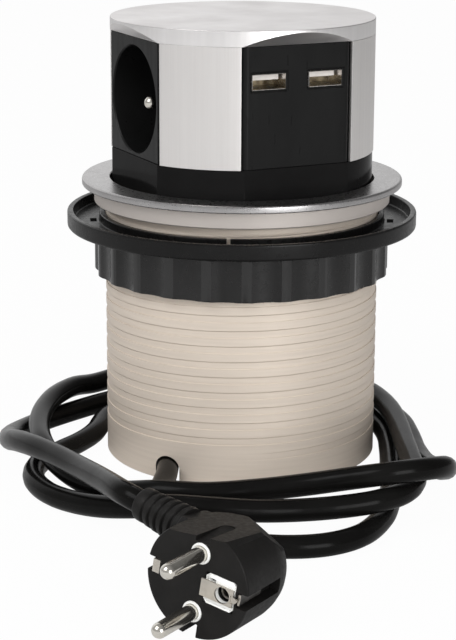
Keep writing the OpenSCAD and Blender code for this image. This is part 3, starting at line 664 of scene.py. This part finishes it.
# Earth contact: a white surround let into the plug's face, with bevelled edges and a small window.
# A satin nickel strip lies across it, with a sleeve in the hole that takes a socket's earth pin,
# and its tongue reaches the clip on that flank. The other clip is folded over the face's edge.
SURROUND_BEVEL = 1.2
surround = block((-1.2, 2.9, -4.9), (0.3, 13.4, 4.9))
surround.name = "earth_surround"
bpy.ops.object.mode_set(mode="EDIT")
bpy.ops.mesh.select_all(action="SELECT")
bpy.ops.mesh.bevel(offset=SURROUND_BEVEL / 1000, segments=1, affect="EDGES")
bpy.ops.object.mode_set(mode="OBJECT")
soften(surround, 0.2, 2, 50)
cut_away(surround, rod((0, EARTH_OFF, 0), EARTH_HOLE, 8, "x", 48))
cut_away(surround, block((-2, 4.2, 2.6), (1, 6.6, 3.6)))
placed(surround, plug_place)
settle(surround, white_plastic, "base", ["plug_earth_frame"])

STRIP_BACK = 0.3
STRIP_FRONT = 0.9
satin_nickel = new_finish("satin_nickel_plate", 1.0)
two_tones(satin_nickel, 500, (0.58, 0.54, 0.48), (0.66, 0.62, 0.56))
uneven_gloss(satin_nickel, 1400, 0.36, 0.48)
raised_grain(satin_nickel, 2600, 0.000006)
strip = block((STRIP_BACK, 1.9, -2.8), (STRIP_FRONT, 13.2, 2.8))
strip_tongue = drawn_outline("strip_tongue", [
    (STRIP_BACK, 12.5, -1.3), (STRIP_BACK, 14.1, -1.0), (STRIP_BACK, 15, 0.2), (STRIP_BACK, 12.5, 1.3)])
strip_thickness = ((STRIP_FRONT - STRIP_BACK) / 1000, 0, 0)
bpy.ops.mesh.edge_face_add()
bpy.ops.mesh.extrude_region_move(TRANSFORM_OT_translate={"value": strip_thickness})
bpy.ops.mesh.select_all(action="SELECT")
bpy.ops.mesh.normals_make_consistent(inside=False)
bpy.ops.object.mode_set(mode="OBJECT")
cut_away(strip, strip_tongue, "UNION")
soften(strip, 0.15, 2, 50)
cut_away(strip, rod((0, EARTH_OFF, 0), 2.55, 8, "x", 48))
pin_sleeve = turned("pin_sleeve", [
    (1.8, -8), (2.4, -8), (2.4, -2.6), (2.25, -2.4), (1.95, -2.4), (1.8, -2.6)], 48)
placed(pin_sleeve, out_of_plug(0, EARTH_OFF, 0))
strip = placed(joined([strip, pin_sleeve], "earth_strip"), plug_place)
settle(strip, satin_nickel, "base", ["plug_earth_plate"])

# The clips' length back inside the flank slots gets a dark colour as painted shade in the slot; only their
# front ends keep the bright satin nickel.
CLIP_SHADE_FROM = -0.8
clip_painted_shade = new_finish("painted_shade_on_clips", 1.0)
two_tones(clip_painted_shade, 500, (0.11, 0.106, 0.1), (0.18, 0.174, 0.168))
uneven_gloss(clip_painted_shade, 1400, 0.44, 0.56)
first_clip = block((-12, 14.15, -1.8), (-0.3, 15.05, 1.8))
soften(first_clip, 0.25, 2, 50)
second_clip = twin_of(first_clip, "clip_far", Matrix.Rotation(math.pi, 4, "X"))
cut_away(second_clip, block((-0.6, -15.3, -2.1), (0.5, -12.9, 2.1)), "UNION")
side_clips = placed(joined([first_clip, second_clip], "earth_side_clips"), plug_place)
settle(side_clips, satin_nickel, "base", ["plug_clips"])
to_plug = plug_place.inverted()
refinish(side_clips, clip_painted_shade, lambda face: (to_plug @ face.center).x * 1000 < CLIP_SHADE_FROM)


# Pressure ring: a dished ring of black moulded plastic that the nut pushes up against the desk top.
# Its lip bears on the wood, a low split hub guides it on the tube, and two slots pierce its floor.
SLOT_TURNS = (-5, 186)
SPLIT_TURN = -95
dished_ring = turned("pressure_ring", [
    (50.4, 85.2), (63.1, 85.2), (63.55, 85.35), (63.82, 85.7), (63.9, 86.2), (63.9, 90.3), (63.78, 90.7),
    (63.4, 91), (62.1, 91), (61.8, 90.85), (61.65, 90.5), (61.42, 87.5), (61.1, 87.2), (52.5, 87.2),
    (52.3, 87.4), (52.2, 90.1), (51.95, 90.4), (50.4, 90.4)], 160)
for slot_turn in SLOT_TURNS:
    slot = block((53.2, -3, 84), (55.6, 3, 88.5))
    cut_away(dished_ring, placed(slot, turn @ Matrix.Rotation(math.radians(slot_turn), 4, "Z")))
split = block((49, -0.7, 87.3), (53, 0.7, 92))
cut_away(dished_ring, placed(split, turn @ Matrix.Rotation(math.radians(SPLIT_TURN), 4, "Z")))
ring_black = new_finish("ring_satin_black", 0.0, 0.2)
two_tones(ring_black, 70, (0.004, 0.0038, 0.0038), (0.006, 0.0058, 0.0058))
uneven_gloss(ring_black, 420, 0.24, 0.36)
raised_grain(ring_black, 1500, 0.00003)
settle(dished_ring, ring_black, "pressure_ring", ["clamp_ring"])


# Lock nut: a black moulded ring that runs on the tube's thread, with 24 hollows to grip it by.
# The hollows are duller than the crests, which hands polish. They stop short of its round top,
# which pushes on the pressure ring.
GRIPS = 24
GRIP_TURN = 13
GRIP_CUTTER = 14.5
GRIP_CENTRE = 67.0
GRIP_TOP = 83
GRIP_CREST = 53.6
NUT_BORE_WALL = 52
NUT_LAY = (1, 1, 0.05)
grip_nut = turned("grip_nut", [
    (50.4, 68.2), (53.5, 68.2), (53.85, 68.35), (54, 68.7), (54, 75), (54, 82.8), (54, 83.3), (54, 84.9),
    (53.7, 85.2), (50.4, 85.2)], 288)
half_grip = 180 / GRIPS
for corner in grip_nut.data.vertices:
    out = reach(corner.co)
    if out > NUT_BORE_WALL and corner.co.z < GRIP_TOP / 1000:
        bearing = math.degrees(math.atan2(corner.co.y, corner.co.x))
        off = math.radians((bearing - GRIP_TURN + half_grip) % (2 * half_grip) - half_grip)
        inside = GRIP_CUTTER ** 2 - (GRIP_CENTRE * math.sin(off)) ** 2
        if inside > 0:
            hollow = GRIP_CENTRE * math.cos(off) - math.sqrt(inside)
            if hollow < out:
                corner.co.x *= hollow / out
                corner.co.y *= hollow / out
nut_black = new_finish("nut_gloss_black", 0.0, 0.55)
two_tones(nut_black, 70, (0.007, 0.0067, 0.0067), (0.01, 0.0096, 0.0096))
uneven_gloss(nut_black, 420, 0.12, 0.22)
raised_grain(nut_black, 300, 0.00004, NUT_LAY)
nut_hollow = new_finish("nut_hollow_black", 0.0, 0.36)
two_tones(nut_hollow, 70, (0.007, 0.0067, 0.0067), (0.01, 0.0096, 0.0096))
uneven_gloss(nut_hollow, 420, 0.24, 0.36)
raised_grain(nut_hollow, 300, 0.00006, NUT_LAY)
settle(grip_nut, nut_black, "nut", ["lock_nut"], 15)
refinish(grip_nut, nut_hollow,
         lambda face: face.center.z * 1000 < GRIP_TOP and reach(face.center) < GRIP_CREST)


# Base plate of the head: a black moulded disc that slides in the tube, notched for the rails.
# Four screws hold it to the collar, and the frame that carries the faces stands above it.
dress(inner_black, "head_base", "head_frame")


# Collar of the head: a glossy black moulded sleeve with four flats, on which the faces stand.
# It runs from the base plate up through the flange's hole, with a screw post in each corner.
COLLAR_FLAT = 42.75
POST_OFF = 42.9


def flatted(name, radius, flat, low, high):
    """A disc with four flats, in millimetres."""
    piece = rod((0, 0, (low + high) / 2), radius, high - low, "z", 128)
    piece.name = name
    for way in ((1, 0, 0), (-1, 0, 0), (0, 1, 0), (0, -1, 0)):
        trim(piece, Vector(way) * flat, way)
    return piece


collar = flatted("head_collar_sleeve", 47.4, COLLAR_FLAT, 84.4, 113.4)
soften(collar, 0.35, 3, 20)
cut_away(collar, flatted("collar_bore", 45.4, COLLAR_FLAT - 2, 80, 120))
for corner_turn in (45, 135, 225, 315):
    post_place = Matrix.Rotation(math.radians(corner_turn), 4, "Z")
    cut_away(collar, placed(rod((POST_OFF, 0, 89.4), 3.4, 9.9, "z", 32), post_place), "UNION")
    cut_away(collar, placed(rod((POST_OFF, 0, 88), 1.55, 10, "z", 24), post_place))
gloss_black = new_finish("collar_gloss_black", 0.0, 0.03)
two_tones(gloss_black, 60, (0.007, 0.0068, 0.0068), (0.0095, 0.0093, 0.0093))
uneven_gloss(gloss_black, 350, 0.09, 0.2, (1, 1, 0.1))
raised_grain(gloss_black, 220, 0.00001)
settle(collar, gloss_black, "head", ["head_collar"])


# Sockets: black moulded faces, each a flat plate with a deep round well behind it.
# Two holes in the well's floor lead to the brass sleeves, and an earth pin stands beside them.
FACE = 42.75
FACE_BACK = 40.25
FACE_HALF = 20.65
FACE_FOOT = 113.5
FACE_TOP = 155.7
WELL_Z = 133.6
WELL_FLOOR = -25.75
EARTH_PIN_FOOT = -23.25
EARTH_PIN_LENGTH = 19.5


def face_plate():
    """The flat plate that fills the front face between two corner panels."""
    return block((-FACE_HALF, -FACE, FACE_FOOT), (FACE_HALF, -FACE_BACK, FACE_TOP))


def out_of_face(x, y, z):
    """Stands a turned piece on a point in millimetres, pointing out of the front face."""
    return Matrix.Translation(Vector((x, y, z)) / 1000) @ Matrix.Rotation(math.pi / 2, 4, "X")


face_black = new_finish("face_black_moulding", 0.0, 0.14)
two_tones(face_black, 80, (0.0046, 0.0046, 0.0046), (0.007, 0.007, 0.007), (1, 1, 0.3))
uneven_gloss(face_black, 500, 0.27, 0.42, (1, 1, 0.15))
raised_grain(face_black, 1700, 0.000015)
socket_front = face_plate()
soften(socket_front, 0.4, 3, 50)
cut_away(socket_front, rod((0, -32.75, WELL_Z), 20, 19, "y", 96), "UNION")
well = turned("well_cutter", [
    (0, 0), (18.75, 0), (18.9, 0.2), (19, 0.6), (19, 16.5), (19.35, 17), (20.5, 19), (0, 19)], 96)
cut_away(socket_front, placed(well, out_of_face(0, WELL_FLOOR, WELL_Z)))
for side in (-1, 1):
    hole = turned("hole_cutter", [(0, -4), (2.7, -4), (2.7, -0.5), (3.3, 0.1), (3.3, 1), (0, 1)], 48)
    cut_away(socket_front, placed(hole, out_of_face(0, WELL_FLOOR, WELL_Z + PIN_OFF * side)))
cut_away(socket_front, rod((EARTH_OFF, -24.5, WELL_Z), PIN_HOLE, 4, "y", 48))
earth_pin = turned("earth_pin", [(0, 0), (PIN_RADIUS, 0)] + round_end(PIN_RADIUS, EARTH_PIN_LENGTH), 48)
placed(earth_pin, out_of_face(EARTH_OFF, EARTH_PIN_FOOT, WELL_Z))
for name, face_turn in (("left", -90), ("right", 90), ("rear", 180)):
    swing = Matrix.Rotation(math.radians(face_turn), 4, "Z")
    socket_face = twin_of(socket_front, "socket_face_" + name, swing)
    settle(socket_face, face_black, "head", ["socket_" + name])
    earth_post = twin_of(earth_pin, "earth_post_" + name, swing)
    settle(earth_post, nickel, "head", ["earth_pin_" + name])
bpy.data.objects.remove(socket_front)
bpy.data.objects.remove(earth_pin)
brass = new_finish("contact_brass", 1.0)
two_tones(brass, 600, (0.7, 0.52, 0.22), (0.83, 0.63, 0.3))
uneven_gloss(brass, 1500, 0.2, 0.32)
dress(brass, "contacts_left", "contacts_right", "contacts_rear")


# Corner panels: four curved strips of aluminium sheet, brushed upright and clear anodised.
# They clip between the faces from the collar up to the cap.
PANEL_SWEEP = 36.46
PANEL_LAY = (1, 1, 0.02)
PANEL_LINES = (1, 1, 0.008)
panel = turned("panel", [(46.5, 113.45), (47.7, 113.45), (47.7, 155.75), (46.5, 155.75)], 32, PANEL_SWEEP)
soften(panel, 0.15, 2, 40)
swept = [math.degrees(math.atan2(v.co.y, v.co.x)) for v in panel.data.vertices]
panel_middle = (min(swept) + max(swept)) / 2
panel_metal = new_finish("panel_brushed_aluminium", 1.0)
two_tones(panel_metal, 1500, (0.822, 0.797, 0.782), (0.858, 0.833, 0.818), PANEL_LINES)
uneven_gloss(panel_metal, 1200, 0.34, 0.46, PANEL_LAY)
raised_grain(panel_metal, 2200, 0.000008, PANEL_LAY)
for name, corner_turn in (("front_left", 225), ("front_right", 315), ("rear_left", 135), ("rear_right", 45)):
    swing = Matrix.Rotation(math.radians(corner_turn - panel_middle), 4, "Z")
    corner_panel = twin_of(panel, "corner_panel_" + name, swing)
    settle(corner_panel, panel_metal, "head", ["panel_" + name])
bpy.data.objects.remove(panel)


# Charging face: a black moulded plate with rounded upright edges and two stepped openings.
# It clips in between two corner panels as the sockets do, and has their fine grained finish.
UPRIGHT_ROUND = 1.9
PORT_OFF = 10.9
PORT_Z = 143.5


def port_block(middle, low, high):
    """A box between two corners that are given from a port's middle, apart from how far out they are."""
    return block((middle + low[0], low[1], PORT_Z + low[2]), (middle + high[0], high[1], PORT_Z + high[2]))


charging_face = face_plate()
charging_face.name = "charging_face"
bpy.ops.object.mode_set(mode="EDIT")
bpy.ops.mesh.select_mode(type="EDGE")
bpy.ops.mesh.select_all(action="DESELECT")
bpy.ops.object.mode_set(mode="OBJECT")
for edge in charging_face.data.edges:
    start, end = [charging_face.data.vertices[v].co for v in edge.vertices]
    upright = abs(start.z - end.z) * 1000 > UPRIGHT_ROUND
    in_front = start.y * 1000 < -(FACE + FACE_BACK) / 2
    edge.select = upright and in_front
bpy.ops.object.mode_set(mode="EDIT")
bpy.ops.mesh.bevel(offset=UPRIGHT_ROUND / 1000, segments=6, affect="EDGES")
bpy.ops.mesh.select_mode(type="VERT")
bpy.ops.object.mode_set(mode="OBJECT")
soften(charging_face, 0.2, 2, 60)
for side in (-1, 1):
    middle = PORT_OFF * side
    step = port_block(middle, (-7.5, -44, -3.75), (7.5, -42.15, 3.75))
    soften(step, 0.8, 3, 50)
    cut_away(charging_face, step)
    cut_away(charging_face, port_block(middle, (-6.75, -44, -3), (6.75, -38, 3)))
settle(charging_face, face_black, "head", ["usb_face"])


# Charging ports: a folded plated steel shell with a pale tongue set back in its upper half.
# Two spring tabs are cut in the shell's floor, whose brass shows, and a board carries both ports.
PORT_LIP = -42.3
PORT_HALF_WIDE = 6.2
PORT_HALF_HIGH = 2.6
TAB_STARTS = (-3.4, 2.2)
TAB_WIDTH = 1.95
TAB_SLIT = 0.45
TAB_FRONT = -41.6
TAB_BACK = -36


def on_port_floor(face, middle):
    """Whether a face is of the floor or the back inside a port's shell."""
    across = abs(face.center.x * 1000 - middle)
    inside = abs(face.center.z * 1000 - PORT_Z) < PORT_HALF_HIGH and across < PORT_HALF_WIDE
    behind_lip = face.center.y * 1000 > PORT_LIP
    return inside and behind_lip and (face.normal.z > 0.5 or face.normal.y < -0.5)


def on_port_lip(face):
    """Whether a face is of a shell's front edge, above the floor."""
    return face.center.y * 1000 < PORT_LIP and face.center.z * 1000 > PORT_Z - PORT_HALF_HIGH


port_steel = new_finish("port_plated_steel", 1.0)
two_tones(port_steel, 500, (0.7, 0.67, 0.64), (0.77, 0.74, 0.71))
uneven_gloss(port_steel, 1400, 0.2, 0.3)
port_brass = new_finish("port_floor_brass", 1.0)
two_tones(port_brass, 380, (0.1, 0.075, 0.045), (0.56, 0.48, 0.34), (1, 0.6, 1))
uneven_gloss(port_brass, 1400, 0.28, 0.4)
# The shells' front lip, apart from its lower edge, gets a dark colour as painted shade; the lower edge keeps
# the plated steel's own colour.
port_lip_painted_shade = new_finish("painted_shade_on_port_lip", 1.0)
two_tones(port_lip_painted_shade, 600, (0.12, 0.115, 0.11), (0.28, 0.265, 0.25))
uneven_gloss(port_lip_painted_shade, 1400, 0.34, 0.46)
pale_tongue = new_finish("port_pale_tongue", 0.0)
two_tones(pale_tongue, 500, (0.75, 0.71, 0.67), (0.82, 0.78, 0.74))
uneven_gloss(pale_tongue, 1200, 0.36, 0.5)
for name, side in (("left", -1), ("right", 1)):
    middle = PORT_OFF * side
    shell = port_block(middle, (-6.7, -42.55, -2.95), (6.7, -30.55, 2.95))
    shell.name = "port_shell_" + name
    soften(shell, 0.5, 3, 50)
    cut_away(shell, port_block(middle, (-6.3, -44, -2.55), (6.3, -31.55, 2.55)))
    for tab in TAB_STARTS:
        tab_end = tab + TAB_WIDTH
        for low, high in ((tab, tab + TAB_SLIT), (tab_end - TAB_SLIT, tab_end)):
            cut_away(shell, port_block(middle, (low, TAB_FRONT, -4), (high, TAB_BACK, -2.3)))
        cut_away(shell, port_block(middle, (tab, TAB_BACK - 0.4, -4), (tab_end, TAB_BACK + 0.1, -2.3)))
    settle(shell, port_steel, "head", ["usb_shell_" + name])
    refinish(shell, port_brass, lambda face: on_port_floor(face, middle))
    refinish(shell, port_lip_painted_shade, on_port_lip)
    tongue = port_block(middle, (-5.6, -38.6, 0.1), (5.6, -31.55, 2.2))
    tongue.name = "port_tongue_" + name
    soften(tongue, 0.25, 2, 50)
    settle(tongue, pale_tongue, "head", ["usb_tongue_" + name])
board_green = new_finish("circuit_board_green", 0.0)
two_tones(board_green, 400, (0.025, 0.12, 0.05), (0.04, 0.17, 0.075))
uneven_gloss(board_green, 900, 0.32, 0.48)
dress(board_green, "usb_board")


# Cap: a turned aluminium lid, satin on top, with a slanted facet over each face. Its turned rim has a much
# brighter colour than the top, partly its own turned finish and partly a painted highlight. It closes the
# desk opening when the head is down, flush with the flange.
CAP_RADIUS = 47.7
CAP_FOOT = 155.8
FACET_RISE = 4.5
RIM_FROM = 47.3
CAP_LAY = (0.06, 0.06, 1)
RIM_LAY = (1, 1, 0.04)
cap = turned("head_cap", [
    (0, CAP_FOOT), (CAP_RADIUS, CAP_FOOT), (CAP_RADIUS, 160.95), (47.6, 161.2), (47.35, 161.3),
    (0, 161.3)], 160)
facet_way = Vector((FACET_RISE, 0, -(CAP_RADIUS - FACE))).normalized()
for quarter in range(4):
    swing = Matrix.Rotation(math.pi / 2 * quarter, 3, "Z")
    trim(cap, swing @ Vector((FACE, 0, CAP_FOOT)), swing @ facet_way)
cut_away(cap, rod((0, 0, 157), 39.75, 6.6, "z", 96))
soften(cap, 0.12, 2, 30)
cap_metal = new_finish("cap_satin_aluminium", 1.0)
two_tones(cap_metal, 160, (0.76, 0.735, 0.73), (0.8, 0.775, 0.77))
uneven_gloss(cap_metal, 1000, 0.3, 0.44, CAP_LAY)
raised_grain(cap_metal, 2600, 0.000008, CAP_LAY)
# The rim's brighter tones are partly the turned finish and partly a painted highlight band.
turned_rim_highlight = new_finish("cap_rim_turned_with_painted_highlight", 1.0)
two_tones(turned_rim_highlight, 500, (0.91, 0.89, 0.885), (0.96, 0.94, 0.935), RIM_LAY)
uneven_gloss(turned_rim_highlight, 1000, 0.28, 0.4, RIM_LAY)
raised_grain(turned_rim_highlight, 2200, 0.000008, RIM_LAY)
settle(cap, cap_metal, "head", ["top_cap"], 25)
refinish(cap, turned_rim_highlight, lambda face: abs(face.normal.z) < 0.3 and reach(face.center) > RIM_FROM)


# Studio: a white floor that stays white to the camera, shows in the metal and keeps a soft shadow.
# A large soft lamp stands in front, weaker ones high at the left and low at the right, and the sky
# is pale behind the object and at the left and dim at the right.
FLOOR_SIZE = 40
FLOOR_SEEN = 0.97
FLOOR_MIRRORED = 0.12
LAMP_AIM = (0, 0, 0.08)
bpy.ops.object.select_all(action="DESELECT")
bpy.ops.mesh.primitive_plane_add(size=FLOOR_SIZE, location=(0, 0, 0))
studio_floor = bpy.context.object
studio_floor.name = "studio_floor"


def combined(tree, how, first, second):
    """One value from two, by a way of reckoning. The second may be a plain number."""
    node = tree.nodes.new("ShaderNodeMath")
    node.operation = how
    tree.links.new(first, node.inputs[0])
    if isinstance(second, float):
        node.inputs[1].default_value = second
    else:
        tree.links.new(second, node.inputs[1])
    return node.outputs["Value"]


floor_white = new_finish("studio_floor_white", 0.0)
two_tones(floor_white, 3, (0.71, 0.71, 0.71), (0.73, 0.73, 0.73))
floor_tree = floor_white.node_tree
floor_shader = floor_tree.nodes["Principled BSDF"]
floor_shader.inputs["Roughness"].default_value = 0.9
glow = floor_tree.nodes.new("ShaderNodeEmission")
glow.inputs["Color"].default_value = (1, 1, 1, 1)
glow.inputs["Strength"].default_value = 1.0
path = floor_tree.nodes.new("ShaderNodeLightPath").outputs
seen = combined(floor_tree, "MULTIPLY", path["Is Camera Ray"], FLOOR_SEEN)
in_mirrors = combined(floor_tree, "MAXIMUM", path["Is Glossy Ray"], path["Is Transmission Ray"])
mirrored = combined(floor_tree, "MULTIPLY", in_mirrors, FLOOR_MIRRORED)
both = floor_tree.nodes.new("ShaderNodeMixShader")
floor_tree.links.new(combined(floor_tree, "MAXIMUM", seen, mirrored), both.inputs["Fac"])
floor_tree.links.new(floor_shader.outputs["BSDF"], both.inputs[1])
floor_tree.links.new(glow.outputs["Emission"], both.inputs[2])
floor_tree.links.new(both.outputs["Shader"], floor_tree.nodes["Material Output"].inputs["Surface"])
studio_floor.data.materials.append(floor_white)


def lamp(name, place, power, size, mirrored):
    """A soft square lamp that looks at the middle of the object, placed as the photograph sees it."""
    bpy.ops.object.light_add(type="AREA", location=turn @ Vector(place))
    light = bpy.context.object
    light.name = name
    light.data.energy = power
    light.data.size = size
    light.visible_glossy = mirrored
    light.rotation_euler = (Vector(LAMP_AIM) - light.location).to_track_quat("-Z", "Y").to_euler()


def sky_side(tree, ways, toward, low, high, dim, bright):
    """A part of the sky that grows from dim to bright as one looks toward a direction."""
    facing = tree.nodes.new("ShaderNodeVectorMath")
    facing.operation = "DOT_PRODUCT"
    facing.inputs[1].default_value = turn @ Vector(toward).normalized()
    fade = tree.nodes.new("ShaderNodeMapRange")
    fade.inputs["From Min"].default_value = low
    fade.inputs["From Max"].default_value = high
    fade.inputs["To Min"].default_value = dim
    fade.inputs["To Max"].default_value = bright
    tree.links.new(ways, facing.inputs[0])
    tree.links.new(facing.outputs["Value"], fade.inputs["Value"])
    return fade.outputs["Result"]


lamp("key_lamp", (-0.1, -2.15, 1.25), 25.5, 2.2, False)
lamp("top_lamp", (-0.9, -0.8, 1.2), 11, 0.9, True)
lamp("fill_lamp", (1.0, -1.75, 0.5), 17, 1.0, True)
sky = bpy.data.worlds.new("studio_sky")
bpy.context.scene.world = sky
sky.use_nodes = True
sky_tree = sky.node_tree
ways = sky_tree.nodes.new("ShaderNodeTexCoord").outputs["Generated"]
front_left = sky_side(sky_tree, ways, (-0.8, -0.6, 0), -1.0, 0.6, 0.12, 0.45)
behind = sky_side(sky_tree, ways, (-0.35, 0.9, 0.25), 0.55, 0.95, 0.0, 1.0)
sky_light = sky_tree.nodes["Background"]
sky_light.inputs["Color"].default_value = (1, 1, 1, 1)
sky_tree.links.new(combined(sky_tree, "MAXIMUM", front_left, behind), sky_light.inputs["Strength"])
bpy.context.scene.view_settings.view_transform = "Standard"


# Camera: stands where the photograph was taken from, a little above the head and looking down.
CAMERA_OUT = 0.7468
CAMERA_HEIGHT = 0.246
CAMERA_DOWN = math.radians(14.84)
CAMERA_LEFT = 0.0065
CAMERA_ROLL = 0.0045
FOCAL_PIXELS = 2073.6
PHOTO_HEIGHT = 640
SENSOR = 36
eye_data = bpy.data.cameras.new("photo_camera")
eye_data.lens = FOCAL_PIXELS * SENSOR / PHOTO_HEIGHT
eye = bpy.data.objects.new("photo_camera", eye_data)
bpy.context.collection.objects.link(eye)
spot = turn @ Vector((0, -CAMERA_OUT, CAMERA_HEIGHT))
eye.matrix_world = (Matrix.Translation(spot) @ Matrix.Rotation(LAY_TURN + CAMERA_LEFT, 4, "Z")
                    @ Matrix.Rotation(math.pi / 2 - CAMERA_DOWN, 4, "X")
                    @ Matrix.Rotation(CAMERA_ROLL, 4, "Z"))
bpy.context.scene.camera = eye
